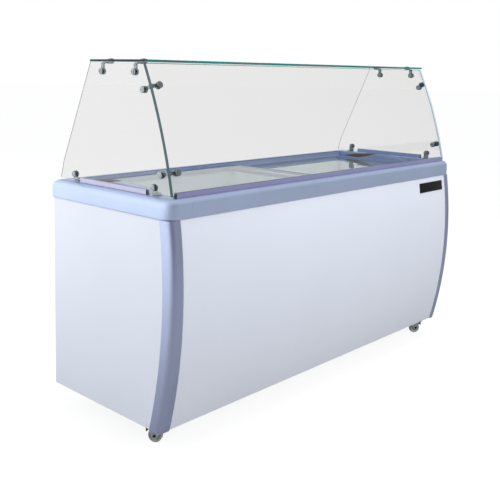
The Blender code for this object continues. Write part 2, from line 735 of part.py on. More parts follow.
# ---------------------------------------------------------------- casters
def build_caster(corner):
    """A swivel fork, its wheel and, at the front, a brake pedal. Local X is the way the
    wheel trails, and the swivel axis is local Z."""
    x, y, heading = CASTERS[corner]
    pivot = bpy.data.objects.new("swivel_" + corner, None)
    pivot.location = (x, y, 0)
    pivot.rotation_euler.z = math.radians(heading)
    bpy.context.scene.collection.objects.link(pivot)

    cheek = [(-0.013, 0.0655), (0.047, 0.0655), (0.044, 0.050), (0.032, 0.0165),
             (0.016, 0.0165), (-0.002, 0.045)]
    fork = rod("caster_fork_" + corner, "Z", (0, 0), 0.0190, 0.0650, 0.0724, 24, "zinc")
    pieces = [block("bridge", (-0.013, -CHEEK_OUT, 0.0625), (0.047, CHEEK_OUT, 0.0660)),
              rod("axle", "Y", (CASTER_TRAIL, AXLE_Z), 0.0040, -0.0165, 0.0165, 16)]
    for way in (-1, 1):
        pieces.append(prism("cheek", "Y", way * CHEEK_IN, way * CHEEK_OUT, cheek))
        pieces.append(rod("nut", "Y", (CASTER_TRAIL, AXLE_Z), 0.0060, way * 0.0140,
                          way * 0.0185, 6))
    braked = corner.startswith("front")
    if braked:
        pieces.append(rod("pin", "Y", PEDAL_PIVOT, 0.0022, -0.0150, 0.0150, 12))
    join(fork, *pieces)
    finish_as(fork, "zinc")
    fork.parent = pivot

    half, tread = WHEEL_HALF_WIDTH, WHEEL_RADIUS
    wheel = turned("caster_wheel_" + corner,
                   [(0.0045, -half), (0.010, -half), (0.011, -half + 0.002),
                    (0.018, -half + 0.002), (0.019, -half), (tread - 0.002, -half),
                    (tread, -half + 0.002), (tread, half - 0.002), (tread - 0.002, half),
                    (0.019, half), (0.018, half - 0.002), (0.011, half - 0.002),
                    (0.010, half), (0.0045, half)], WHEEL_FACETS, "tyre")
    wheel.data.transform(Matrix.Rotation(math.radians(90), 4, "X"))
    wheel.location = (CASTER_TRAIL, 0, AXLE_Z)
    wheel.parent = pivot

    if braked:
        x, z = CASTER_TRAIL, 0.0
        outline = [(0.0090, 0.0580), (0.0140, 0.0588), (0.0300, 0.0545), (0.0520, 0.0700),
                   (0.0550, 0.0665), (0.0330, 0.0490), (0.0320, 0.0370), (0.0285, 0.0360),
                   (0.0275, 0.0460), (0.0200, 0.0500), (0.0095, 0.0508)]
        pedal = prism("brake_pedal_" + corner, "Y", -0.0105, 0.0105,
                      [(x + a - PEDAL_PIVOT[0], z + b - PEDAL_PIVOT[1]) for a, b in outline],
                      "black")
        cut(pedal, rod("bore", "Y", (0, 0), 0.0027, -0.02, 0.02, 12))
        pedal.location = (PEDAL_PIVOT[0], 0, PEDAL_PIVOT[1])
        pedal.parent = pivot


def build_caster_rails():
    """A cranked cross-member under each end, with a seat for each caster's swivel head."""
    half, end = 0.030, 0.240
    for side in ("left", "right"):
        x0, y0, _ = CASTERS["front_" + side]
        x1, y1, _ = CASTERS["rear_" + side]
        outline = [(x0 - half, -end), (x0 + half, -end), (x0 + half, -0.140),
                   (x1 + half, 0.130), (x1 + half, end), (x1 - half, end),
                   (x1 - half, 0.130), (x0 - half, -0.140)]
        rail = prism("caster_rail_" + side, "Z", 0.0790, 0.0876, outline, "zinc")
        join(rail, *[rod("seat", "Z", spot, 0.0140, 0.0728, 0.0800)
                     for spot in ((x0, y0), (x1, y1))])
        finish_as(rail, "zinc")


def main():
    clear_scene()
    build_skins()
    build_tub()
    build_rim()
    build_tracks()
    build_lid("left", -1, UPPER_LID_Z, 0.010)
    build_lid("right", 1, LOWER_LID_Z, 0.014)
    build_glass()
    build_glass_rails()
    build_clamps()
    build_badge()
    build_compressor()
    build_condenser()
    build_fan()
    build_grille()
    build_caster_rails()
    for corner in CASTERS:
        build_caster(corner)


main()
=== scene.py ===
"""Looks of the ice-cream dipping cabinet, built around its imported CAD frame."""

import json
import math

import bmesh
import bpy
from mathutils import Matrix, Vector


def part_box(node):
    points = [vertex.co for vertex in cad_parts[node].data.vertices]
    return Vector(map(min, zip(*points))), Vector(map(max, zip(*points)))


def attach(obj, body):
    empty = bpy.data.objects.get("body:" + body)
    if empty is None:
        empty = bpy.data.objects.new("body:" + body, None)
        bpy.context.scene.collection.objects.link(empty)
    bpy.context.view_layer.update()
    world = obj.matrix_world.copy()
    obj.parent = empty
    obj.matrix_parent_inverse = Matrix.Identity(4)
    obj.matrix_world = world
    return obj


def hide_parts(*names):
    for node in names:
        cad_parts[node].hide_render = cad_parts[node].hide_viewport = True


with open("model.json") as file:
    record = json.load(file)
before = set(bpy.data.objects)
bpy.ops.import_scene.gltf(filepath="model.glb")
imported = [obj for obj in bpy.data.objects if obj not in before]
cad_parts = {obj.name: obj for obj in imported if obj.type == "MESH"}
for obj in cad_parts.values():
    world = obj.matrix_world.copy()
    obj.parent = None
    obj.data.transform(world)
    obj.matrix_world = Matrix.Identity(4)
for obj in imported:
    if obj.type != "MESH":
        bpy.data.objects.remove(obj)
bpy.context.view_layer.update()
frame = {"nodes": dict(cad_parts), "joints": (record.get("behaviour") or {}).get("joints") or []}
NODES = frame["nodes"]
JOINTS = {joint["name"]: joint for joint in frame["joints"]}
SIDES = (("left", -1), ("right", 1))

# -------- sizes from the frame
rim_low, rim_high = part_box("rim_left")
X_RIM, RIM_FRONT, RIM_REAR = -rim_low.x, rim_low.y, rim_high.y
RIM_BOTTOM, RIM_TOP = rim_low.z, rim_high.z
panel_low, panel_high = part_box("front_panel")
BODY_BOTTOM, BODY_TOP = panel_low.z, panel_high.z
post_low, post_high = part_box("corner_post_right")
POST_X, POST_BOTTOM, POST_TOP = post_high.x, post_low.z, post_high.z
shelf_low, shelf_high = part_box("guard_top_glass")
GUARD_X, GUARD_TOP = shelf_high.x, shelf_high.z

# sizes that the frame's boxes don't say
SHEET = 0.0015              # coated steel
SHEET_TURN = 0.0030         # bend of the front sheet beside the posts
SHEET_BACK = 0.0085         # depth that its turned edge reaches
BULGE_Y = -0.3405           # the front's foremost line
BULGE_Z = 0.552             # and its height
BULGE_RADIUS = 1.732
POST_FRONT_LEG = 0.047
POST_SIDE_LEG = 0.0515
POST_RADIUS = 0.026
POST_WALL = 0.003
RIM_ROUND = 0.031
RIM_FRONT_ROUND = 0.018
RIM_FOOT_ROUND = 0.003
RIM_WALL = 0.0028
RIM_LIP_ROUND = 0.004
RIM_LIP_FOOT = 0.828        # lower edge of the walls round the mouth
RIM_CORNER = 0.048
RIM_SEAM_X = 0.800
RIM_REAR_ROUND = 0.010
MOUTH_X, MOUTH_FRONT, MOUTH_REAR = 0.834, -0.271, 0.300
GLASS = 0.006
GUARD_FOOT_Y, GUARD_FOOT_Z = -0.3025, 0.877
GUARD_HEAD_Y, GUARD_HEAD_Z = -0.160, shelf_low.z - 0.0005
GUARD_RADIUS = 1.80
SIDE_HEAD_Y, SIDE_FOOT_Y = 0.138, 0.326     # rear edge of the side panes
SIDE_KNEE = (0.308, 0.938)
SEAM = 0.0004               # open joint between neighbouring mouldings

# -------- camera
CAMERA_PLACE = Vector((-2.4799, -2.1352, 1.2811))
CAMERA_YAW = 47.12          # from +Y towards +X
CAMERA_PITCH = 5.81         # downwards
CAMERA_ROLL = 1.004
CAMERA_LENS = 55.37
CAMERA_SHIFT_Y = -0.2


def build_camera():
    yaw, pitch, roll = (math.radians(v) for v in (CAMERA_YAW, CAMERA_PITCH, CAMERA_ROLL))
    forward = Vector((math.sin(yaw) * math.cos(pitch), math.cos(yaw) * math.cos(pitch),
                      -math.sin(pitch)))
    level = Vector((math.cos(yaw), -math.sin(yaw), 0))
    upward = level.cross(forward)
    right = level * math.cos(roll) + upward * math.sin(roll)
    up = right.cross(forward)
    data = bpy.data.cameras.new("camera")
    data.sensor_width = 36.0
    data.lens = CAMERA_LENS
    data.shift_y = CAMERA_SHIFT_Y
    data.clip_end = 200.0
    camera = bpy.data.objects.new("camera", data)
    turn = Matrix((right, up, -forward)).transposed().to_4x4()
    camera.matrix_world = Matrix.Translation(CAMERA_PLACE) @ turn
    bpy.context.scene.collection.objects.link(camera)
    bpy.context.scene.camera = camera


# -------- materials
def node_tree(name):
    made = bpy.data.materials.new(name)
    made.use_nodes = True
    tree = made.node_tree
    return made, tree, tree.nodes["Principled BSDF"]


def put(node, values):
    """Sets a node's own sockets."""
    for name, value in values.items():
        node.inputs[name].default_value = value


def noise(tree, scale, detail=2.0, stretch=(1, 1, 1)):
    """A noise texture in the piece's own metres; returns its value."""
    coords = tree.nodes.new("ShaderNodeTexCoord")
    scaled = tree.nodes.new("ShaderNodeMapping")
    put(scaled, {"Scale": stretch})
    grain = tree.nodes.new("ShaderNodeTexNoise")
    put(grain, {"Scale": scale, "Detail": detail})
    tree.links.new(coords.outputs["Object"], scaled.inputs["Vector"])
    tree.links.new(scaled.outputs["Vector"], grain.inputs["Vector"])
    return grain.outputs["Fac"]


def crystals(tree, scale):
    """A cell texture in the piece's own metres; returns its outputs."""
    coords = tree.nodes.new("ShaderNodeTexCoord")
    cells = tree.nodes.new("ShaderNodeTexVoronoi")
    put(cells, {"Scale": scale})
    tree.links.new(coords.outputs["Object"], cells.inputs["Vector"])
    return cells.outputs


def spread(tree, value, low, high, start=0.3, end=0.7, smooth=False):
    """Maps a value between start and end to a range from low to high."""
    ranged = tree.nodes.new("ShaderNodeMapRange")
    if smooth:
        ranged.interpolation_type = "SMOOTHSTEP"
    put(ranged, {"From Min": start, "From Max": end, "To Min": low, "To Max": high})
    tree.links.new(value, ranged.inputs["Value"])
    return ranged.outputs["Result"]


def blend_colours(tree, value, first, second):
    mixed = tree.nodes.new("ShaderNodeMix")
    mixed.data_type = "RGBA"
    put(mixed, {"A": (*first, 1), "B": (*second, 1)})
    tree.links.new(value, mixed.inputs["Factor"])
    return mixed.outputs["Result"]


def add_bump(tree, shader, height, strength, distance):
    bump = tree.nodes.new("ShaderNodeBump")
    put(bump, {"Strength": strength, "Distance": distance})
    tree.links.new(height, bump.inputs["Height"])
    tree.links.new(bump.outputs["Normal"], shader.inputs["Normal"])


def shade(colour, factor):
    return tuple(min(1.0, c * factor) for c in colour)


def surface(name, colour, rough, metal=0.0, mottle=(6.0, 0.02), grain=(900.0, 0.15, 0.0002),
            rough_spread=0.05, coat=0.0, stretch=(1, 1, 1), shine=0.5):
    """A finish with a slow drift in its colour, a patchy shine and a fine grain."""
    made, tree, shader = node_tree(name)
    scale, amount = mottle
    slow = noise(tree, scale, 3.0)
    colours = blend_colours(tree, spread(tree, slow, 0, 1), shade(colour, 1 - amount),
                            shade(colour, 1 + amount))
    tree.links.new(colours, shader.inputs["Base Color"])
    patches = noise(tree, scale * 9, 4.0, stretch)
    tree.links.new(spread(tree, patches, rough - rough_spread, rough + rough_spread),
                   shader.inputs["Roughness"])
    put(shader, {"Metallic": metal, "Specular IOR Level": shine, "Coat Weight": coat,
                 "Coat Roughness": 0.12})
    fine = noise(tree, grain[0], 3.0, stretch)
    add_bump(tree, shader, fine, grain[1], grain[2])
    return made


def zinc_finish(name, dark, light):
    """Zinc plating: small crystals that differ a little in tone and shine."""
    made, tree, shader = node_tree(name)
    tone = tree.nodes.new("ShaderNodeSeparateColor")
    tree.links.new(crystals(tree, 420.0)["Color"], tone.inputs["Color"])
    value = tone.outputs["Red"]
    tree.links.new(blend_colours(tree, value, dark, light), shader.inputs["Base Color"])
    tree.links.new(spread(tree, value, 0.28, 0.46, 0, 1), shader.inputs["Roughness"])
    put(shader, {"Metallic": 1.0})
    add_bump(tree, shader, noise(tree, 1500.0), 0.2, 0.0001)
    return made


def foam_finish():
    """Cut polyurethane foam: open cells on a pale yellow ground."""
    made, tree, shader = node_tree("foam_cells")
    distance = crystals(tree, 500.0)["Distance"]
    tree.links.new(blend_colours(tree, distance, (0.62, 0.52, 0.30), (0.90, 0.84, 0.62)),
                   shader.inputs["Base Color"])
    put(shader, {"Roughness": 0.95})
    add_bump(tree, shader, distance, 0.6, 0.001)
    return made


def glass_finish(name, tint):
    """Faintly uneven glass that lets lamps through to what is behind it."""
    made, tree, shader = node_tree(name)
    put(shader, {"Base Color": (*tint, 1), "Roughness": 0.0, "IOR": 1.46,
                 "Transmission Weight": 1.0})
    add_bump(tree, shader, noise(tree, 2.2, 1.0), 0.25, 0.0006)
    clear = tree.nodes.new("ShaderNodeBsdfTransparent")
    put(clear, {"Color": (*tint, 1)})
    ray = tree.nodes.new("ShaderNodeLightPath")
    mixed = tree.nodes.new("ShaderNodeMixShader")
    tree.links.new(ray.outputs["Is Shadow Ray"], mixed.inputs["Fac"])
    tree.links.new(shader.outputs["BSDF"], mixed.inputs[1])
    tree.links.new(clear.outputs["BSDF"], mixed.inputs[2])
    tree.links.new(mixed.outputs["Shader"], tree.nodes["Material Output"].inputs["Surface"])
    return made


def edge_finish(name, deep, light):
    """The green of light piped along a pane to its ground edge."""
    made, tree, shader = node_tree(name)
    value = spread(tree, noise(tree, 3.0, 2.0), 0, 1)
    tree.links.new(blend_colours(tree, value, deep, light), shader.inputs["Base Color"])
    tree.links.new(spread(tree, noise(tree, 160.0, 3.0), 0.12, 0.3), shader.inputs["Roughness"])
    put(shader, {"Specular IOR Level": 0.2})
    add_bump(tree, shader, noise(tree, 1200.0), 0.2, 0.0001)
    return made


# grain: scale per metre, strength of the bump, its depth
MOULDED, EXTRUDED = (2600.0, 0.22, 0.00015), (2600.0, 0.2, 0.00015)
PLATED = (1800.0, 0.05, 0.0001)

MAT = {
    "white": surface("white_enamel", (0.79, 0.83, 0.93), 0.34, grain=(700.0, 0.10, 0.0002),
                     mottle=(2.5, 0.012), coat=0.25),
    "blue": surface("blue_moulding", (0.53, 0.63, 0.86), 0.38, metal=0.65, grain=MOULDED,
                    mottle=(5.0, 0.03)),
    # darker copy of the blue moulding: painted shade on the rim's mouth walls, the lid bars, the
    # right arch and the right rail
    "blue_deep": surface("blue_moulding_painted_shade", (0.16, 0.235, 0.44), 0.42, metal=0.35,
                         grain=MOULDED, mottle=(5.0, 0.04)),
    # darker, more metallic copy of the blue moulding for the corner posts: painted shade from
    # the rim's overhang
    "post": surface("post_moulding_painted_shade", (0.50, 0.56, 0.79), 0.34, metal=0.88, grain=MOULDED,
                    mottle=(5.0, 0.03)),
    "violet": surface("violet_channel", (0.24, 0.25, 0.42), 0.42, grain=EXTRUDED,
                      mottle=(9.0, 0.04)),
    # lighter copy of the rails' violet for the left rail: painted light from the left
    "lavender": surface("violet_channel_painted_light", (0.54, 0.53, 0.70), 0.42, metal=0.30,
                        grain=EXTRUDED, mottle=(9.0, 0.03)),
    "liner": surface("liner_enamel", (0.80, 0.88, 0.88), 0.35, grain=(600.0, 0.1, 0.0002),
                     mottle=(4.0, 0.015)),
    "chrome": surface("chrome_plate", (0.36, 0.39, 0.41), 0.10, metal=1.0, grain=PLATED,
                      mottle=(60.0, 0.02), rough_spread=0.03),
    # darker copy of the chrome for the right-end fittings: painted dark reflection, not another
    # plating
    "steel": surface("chrome_painted_dark_reflection", (0.11, 0.145, 0.17), 0.16, metal=1.0, grain=PLATED,
                     mottle=(60.0, 0.05), rough_spread=0.03),
    "brown": surface("brown_grip", (0.060, 0.018, 0.014), 0.50, grain=(1700.0, 0.5, 0.0004),
                     mottle=(40.0, 0.15), shine=0.15),
    "black": surface("black_satin", (0.012, 0.012, 0.013), 0.38, grain=(1500.0, 0.25, 0.0002),
                     mottle=(30.0, 0.2), shine=0.12),
    "tyre": surface("grey_nylon", (0.42, 0.43, 0.46), 0.45, grain=(1400.0, 0.3, 0.0002),
                    mottle=(70.0, 0.06)),
    "fins": surface("bright_fins", (0.66, 0.67, 0.70), 0.34, metal=1.0, mottle=(40.0, 0.05),
                    grain=(900.0, 0.2, 0.0002), stretch=(6, 6, 0.3)),
    "zinc": zinc_finish("zinc_plate", (0.50, 0.51, 0.53), (0.68, 0.69, 0.71)),
    # brighter copy of the zinc for the cheeks' raised border: painted highlight
    "zinc_bright": zinc_finish("zinc_painted_highlight", (0.72, 0.73, 0.72), (0.86, 0.86, 0.84)),
    "foam": foam_finish(),
    "glass": glass_finish("guard_glass", (0.855, 0.853, 0.85)),
    "end_glass": glass_finish("guard_glass_end", (0.79, 0.79, 0.785)),
    "clear": glass_finish("guard_glass_clear", (0.985, 0.985, 0.983)),
    "lid_glass": glass_finish("lid_glass", (0.93, 0.968, 0.975)),
    "edge": edge_finish("glass_edge", (0.006, 0.14, 0.12), (0.02, 0.27, 0.25)),
    "end_edge": edge_finish("glass_edge_end", (0.06, 0.11, 0.12), (0.12, 0.19, 0.21)),
    # darker copy of the edge colour: painted shade on the shelf's left end
    "edge_painted_shade": edge_finish("glass_edge_painted_shade", (0.004, 0.018, 0.02), (0.012, 0.04, 0.045)),
    # pale copy of the edge colour: painted reflection on the front pane's right end and the side
    # panes' rear edges
    "edge_painted_reflection": edge_finish("glass_edge_painted_reflection", (0.35, 0.45, 0.55), (0.55, 0.65, 0.74)),
}


# -------- mesh helpers
def rows(low, high, count):
    return [low + (high - low) * i / (count - 1) for i in range(count)]


def turns(start, end, count):
    """Angles in radians between two in degrees."""
    return [math.radians(t) for t in rows(start, end, count)]


def arc(centre, radius, start, end, steps):
    return [(centre[0] + radius * math.cos(t), centre[1] + radius * math.sin(t))
            for t in turns(start, end, steps + 1)]


def piece(name, points, faces, mats, slots=None, sharp=35):
    """A mesh piece with outward faces; mats names its materials, slots each face's."""
    mesh = bpy.data.meshes.new(name)
    bm = bmesh.new()
    verts = [bm.verts.new(p) for p in points]
    for index, face in enumerate(faces):
        corners = []
        for i in face:
            if verts[i] not in corners:
                corners.append(verts[i])
        made = bm.faces.new(corners)
        made.material_index = slots[index] if slots else 0
    bmesh.ops.remove_doubles(bm, verts=bm.verts, dist=1e-7)
    bmesh.ops.recalc_face_normals(bm, faces=bm.faces)
    bm.to_mesh(mesh)
    bm.free()
    return dress(bpy.data.objects.new(name, mesh), mats, sharp)


def dress(made, mats, sharp=35):
    if not made.users_collection:
        bpy.context.scene.collection.objects.link(made)
    for mat in (mats,) if isinstance(mats, str) else mats:
        made.data.materials.append(MAT[mat])
    made.data.shade_smooth()
    made.data.set_sharp_from_angle(angle=math.radians(sharp))
    return made


def loft(name, rings, mats, slot_of=None, sharp=35):
    """A closed body through rings of equal length. slot_of(part, index) picks a face's
    material: part is "cap" or "side", index the cap's or the ring edge's number."""
    count = len(rings[0])
    points = [p for ring in rings for p in ring]
    faces = [tuple(range(count)),
             tuple((len(rings) - 1) * count + i for i in reversed(range(count)))]
    slots = [slot_of("cap", 0), slot_of("cap", 1)] if slot_of else None
    for row in range(len(rings) - 1):
        for i in range(count):
            j = (i + 1) % count
            faces.append((row * count + i, row * count + j,
                          (row + 1) * count + j, (row + 1) * count + i))
            if slot_of:
                slots.append(slot_of("side", i))
    return piece(name, points, faces, mats, slots, sharp)


def place(axis, along, a, b):
    return {"X": (along, a, b), "Y": (a, along, b), "Z": (a, b, along)}[axis]


def facing(spot, way):
    """A frame at a spot whose Z looks along way."""
    return Matrix.Translation(spot) @ Vector(way).to_track_quat("Z", "Y").to_matrix().to_4x4()


def rectangle(low, high):
    return [(low[0], low[1]), (high[0], low[1]), (high[0], high[1]), (low[0], high[1])]


def prism(name, axis, low, high, outline, mats, slot_of=None, sharp=35):
    return loft(name, [[place(axis, at, a, b) for a, b in outline] for at in (low, high)],
                mats, slot_of, sharp)


def block(name, low, high, mats):
    return prism(name, "Z", low[2], high[2], rectangle(low, high), mats)


def sheet_slot(part, index):
    """The slots of a flat pane: its faces, then its edges."""
    return 0 if part == "cap" else 1


def lathe(name, profile, mats, steps=32, frame_of=None):
    """A body turned about the local Z from (radius, height) points, placed by a matrix."""
    points, faces = [], []
    for i in range(steps):
        t = 2 * math.pi * i / steps
        points += [(r * math.cos(t), r * math.sin(t), h) for r, h in profile]
    count = len(profile)
    ring = min(r for r, _ in profile) > 1e-6
    for i in range(steps):
        k = (i + 1) % steps
        for j in range(count if ring else count - 1):
            m = (j + 1) % count
            quad = [i * count + j, k * count + j, k * count + m, i * count + m]
            if profile[j][0] < 1e-6:
                quad.pop(0)
            elif profile[m][0] < 1e-6:
                quad.pop(2)
            faces.append(tuple(quad))
    made = piece(name, points, faces, mats)
    if frame_of:
        made.data.transform(frame_of)
    return made


def bevel(made, width, segments=2, angle=30, edge_slot=-1):
    """Softens the edges sharper than an angle; edge_slot may colour them."""
    step = made.modifiers.new("bevel", "BEVEL")
    step.width = width
    step.segments = segments
    step.limit_method = "ANGLE"
    step.angle_limit = math.radians(angle)
    step.harden_normals = True
    step.material = edge_slot
    return made


def applied(made):
    """The piece with its modifiers applied."""
    graph = bpy.context.evaluated_depsgraph_get()
    mesh = bpy.data.meshes.new_from_object(made.evaluated_get(graph))
    made.modifiers.clear()
    made.data = mesh
    return made


def gather(name, *parts):
    """Joins pieces into one object, each with its modifiers applied."""
    target = applied(parts[0])
    target.name = name
    for part in parts[1:]:
        applied(part)
        for mat in part.data.materials:
            if mat.name not in target.data.materials:
                target.data.materials.append(mat)
    bm = bmesh.new()
    for part in parts:
        order = [target.data.materials.find(mat.name) for mat in part.data.materials]
        start = len(bm.faces)
        bm.from_mesh(part.data)
        bm.faces.ensure_lookup_table()
        for face in bm.faces[start:]:
            face.material_index = order[face.material_index]
    bm.to_mesh(target.data)
    bm.free()
    for part in parts[1:]:
        bpy.data.objects.remove(part, do_unlink=True)
    return target


def carve(target, *cutters):
    """Cuts the cutters out of a piece and removes them."""
    for cutter in cutters:
        step = target.modifiers.new("cut", "BOOLEAN")
        step.operation = "DIFFERENCE"
        step.object = cutter
    applied(target)
    for cutter in cutters:
        bpy.data.objects.remove(cutter, do_unlink=True)
    target.data.shade_smooth()
    target.data.set_sharp_from_angle(angle=math.radians(35))
    return target


def recolour(made, mat, chosen):
    """Gives another material to the faces whose centre and normal are chosen."""
    slots = made.data.materials
    if MAT[mat].name not in slots:
        slots.append(MAT[mat])
    for face in made.data.polygons:
        if chosen(face.center, face.normal):
            face.material_index = slots.find(MAT[mat].name)
    return made


def stand_for(made, body, slot, *nodes):
    """Ties a piece to its body and hides the CAD nodes that it stands in for; slot is not used.
    """
    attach(made, body)
    if nodes:
        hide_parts(*nodes)
    return made


# -------- cabinet skins
def bulge(z):
    drop = z - BULGE_Z
    return BULGE_Y + BULGE_RADIUS - math.sqrt(BULGE_RADIUS ** 2 - drop ** 2)


def bulged(name, outline, low, high, mats, count=49):
    """Sweeps a plan outline of (x, depth behind the post's face) up the bulge."""
    return loft(name, [[(x, bulge(z) + v, z) for x, v in outline]
                       for z in rows(low, high, count)], mats)


def build_front_panel():
    """One sheet whose upright edges turn back beside the posts."""
    edge, turn, back = panel_high.x, SHEET_TURN, SHEET_BACK
    outer = ([(-edge, back)]
             + arc((-edge + turn, SHEET + turn), turn, 180, 270, 6)
             + arc((edge - turn, SHEET + turn), turn, 270, 360, 6) + [(edge, back)])
    wall = 0.0010
    inside = turn - wall
    inner = ([(-edge + wall, back)]
             + arc((-edge + turn, SHEET + turn), inside, 180, 270, 6)
             + arc((edge - turn, SHEET + turn), inside, 270, 360, 6)
             + [(edge - wall, back)])
    made = bulged("front_skin", outer + inner[::-1], BODY_BOTTOM, BODY_TOP, "white")
    stand_for(made, "cabinet", "white_steel", "front_panel")


def build_posts():
    for side, s in SIDES:
        lines = []
        for depth in (0.0, POST_WALL):
            centre = (POST_X - POST_RADIUS, POST_RADIUS)
            line = [(POST_X - depth, POST_SIDE_LEG)]
            line += arc(centre, POST_RADIUS - depth, 0, -90, 18)
            line.append((POST_X - POST_FRONT_LEG, depth))
            lines.append([(s * x, v) for x, v in line])
        outline = lines[0] + lines[1][::-1]
        # the posts take the darker copy of the blue moulding: painted shade
        made = bulged("post_moulding_painted_shade_" + side, outline, POST_BOTTOM, POST_TOP, "post")
        bevel(made, 0.0012, 2, 60)
        stand_for(made, "cabinet", "blue_plastic", "corner_post_" + side)


SLOT_Z = rows(0.154, 0.344, 9)
SLOT_FRONT, SLOT_REAR, SLOT_HALF = -0.186, 0.086, 0.004


def build_end_panels():
    """Flat end sheets; the right one has the machine bay's air slots."""
    for side, s in SIDES:
        low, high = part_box("end_panel_" + side)
        front = [(bulge(z) + POST_SIDE_LEG + SEAM, z) for z in rows(BODY_BOTTOM, BODY_TOP, 41)]
        made = prism("end_skin_" + side, "X", low.x, high.x,
                     front + [(high.y, BODY_TOP), (high.y, BODY_BOTTOM)], "white")
        if s > 0:
            slots = []
            for z in SLOT_Z:
                outline = (arc((SLOT_FRONT, z), SLOT_HALF, 90, 270, 6)
                           + arc((SLOT_REAR, z), SLOT_HALF, -90, 90, 6))
                slots.append(prism("slot", "X", low.x - 0.01, high.x + 0.01, outline, "white"))
            carve(made, *slots)
        bevel(made, 0.0006, 2, 50)
        stand_for(made, "cabinet", "white_steel", "end_panel_" + side)


def build_rear_details():
    """Screws around the rear panel and its grille."""
    low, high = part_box("rear_panel")
    end = 0.87
    spots = [(x, z) for z in (low.z + 0.025, high.z - 0.050) for x in rows(-end, end, 7)]
    spots += [(x, z) for x in (-end, end) for z in rows(low.z + 0.20, high.z - 0.22, 3)]
    grille_low, grille_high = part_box("service_grille")
    for z in (grille_low.z - 0.008, grille_high.z + 0.008):
        spots += [(x, z) for x in rows(grille_low.x + 0.02, grille_high.x - 0.02, 3)]
    heads = [screw((x, high.y, z), (0, 1, 0), 0.0042) for x, z in spots]
    stand_for(gather("rear_screws", *heads), "cabinet", "zinc")


def screw(spot, way, radius):
    """A low domed head with a dished centre."""
    tall = radius * 0.45
    profile = [(0, tall * 0.55), (radius * 0.30, tall * 0.60), (radius * 0.36, tall * 0.98),
               (radius * 0.62, tall * 0.88), (radius * 0.88, tall * 0.5), (radius, 0.0),
               (0, 0.0)]
    return lathe("screw", profile, "zinc", 12, facing(spot, way))


# -------- top rim
def rim_section(outer_at, inner_at, round_over):
    """The hollow moulding's section. outer_at and inner_at give the plan points a
    distance inside the outer face and a distance outside the mouth."""
    shoulder = RIM_TOP - round_over

    def outer(distance, z):
        return (*outer_at(distance), z)

    def inner(distance, z):
        return (*inner_at(distance), z)

    def roundover(wall, steps=14):
        radius = round_over - wall
        return [outer(wall + radius * (1 - math.cos(t)), shoulder + radius * math.sin(t))
                for t in turns(0, 90, steps + 1)]

    foot = [outer(RIM_FOOT_ROUND * (1 - math.sin(t)),
                  RIM_BOTTOM + RIM_FOOT_ROUND * (1 - math.cos(t)))
            for t in turns(0, 90, 6)]
    lip = [inner(RIM_LIP_ROUND * (1 - math.sin(t)),
                 RIM_TOP - RIM_LIP_ROUND * (1 - math.cos(t)))
           for t in turns(0, 90, 5)]
    return (foot + roundover(0) + lip
            + [inner(0, RIM_LIP_FOOT), inner(RIM_WALL, RIM_LIP_FOOT),
               inner(RIM_WALL, RIM_TOP - RIM_WALL)]
            + roundover(RIM_WALL)[::-1]
            + [outer(RIM_FOOT_ROUND + 0.0004, RIM_BOTTOM + RIM_WALL)])


def rim_lines(front):
    """Where the rim's outer face and mouth are, and the way inwards."""
    return (RIM_FRONT, MOUTH_FRONT, 1) if front else (RIM_REAR, MOUTH_REAR, -1)


def straight_section(x, front):
    """The section at a place along the front or the rear."""
    y_out, y_in, way = rim_lines(front)
    return rim_section(lambda d: (x, y_out + way * d), lambda d: (x, y_in - way * d),
                       RIM_FRONT_ROUND if front else RIM_ROUND)


def corner_section(s, front, turn):
    """The section at a turn round a corner; 0 degrees looks along the cabinet."""
    y_out, y_in, way = rim_lines(front)
    plan_radius = RIM_CORNER if front else RIM_REAR_ROUND
    c, d = math.cos(math.radians(turn)), math.sin(math.radians(turn))
    share = (turn / -90) ** 2 if front else 0.0

    def outer_at(distance):
        middle, radius = max(plan_radius, distance), max(plan_radius - distance, 0.0)
        return (s * (X_RIM - middle + radius * c), y_out + way * middle + radius * d)

    return rim_section(outer_at, lambda gap: (s * (MOUTH_X + gap), y_in - way * gap),
                       RIM_ROUND + (RIM_FRONT_ROUND - RIM_ROUND) * share)


def in_mouth(spot, way):
    """Whether a face is one of the upright walls round the rim's mouth."""
    return (abs(way.z) < 0.6 and abs(spot.x) < MOUTH_X + 0.001
            and MOUTH_FRONT - 0.001 < spot.y < MOUTH_REAR + 0.001)


def build_rim():
    seam = RIM_SEAM_X
    for name, front in (("rim_front", True), ("rim_rear", False)):
        made = loft(name + "_moulding",
                    [straight_section(x, front) for x in rows(-seam + SEAM, seam - SEAM, 9)],
                    "blue")
        # the upright walls round the mouth take the darker blue: painted shade
        recolour(made, "blue_deep", in_mouth)
        stand_for(made, "cabinet", "blue_plastic", name)

    for side, s in SIDES:
        stations = [straight_section(s * seam, True)]
        stations += [corner_section(s, True, turn) for turn in rows(-90, 0, 19)]
        stations += [corner_section(s, False, turn) for turn in rows(0, 90, 9)]
        stations.append(straight_section(s * seam, False))
        made = loft("rim_" + side + "_moulding", stations, "blue")
        # the upright walls round the mouth take the darker blue: painted shade
        recolour(made, "blue_deep", in_mouth)
        stand_for(made, "cabinet", "blue_plastic", "rim_" + side)


# -------- tub and lids
TUB_X, TUB_FRONT, TUB_REAR, TUB_FLOOR = 0.812, -0.252, 0.276, 0.165
TUB_STEP_X, TUB_STEP_Z = 0.470, 0.452       # the step over the machine bay
TUB_ROUND = 0.022
FLANGE_X, FLANGE_FRONT, FLANGE_REAR = 0.830, -0.267, 0.296


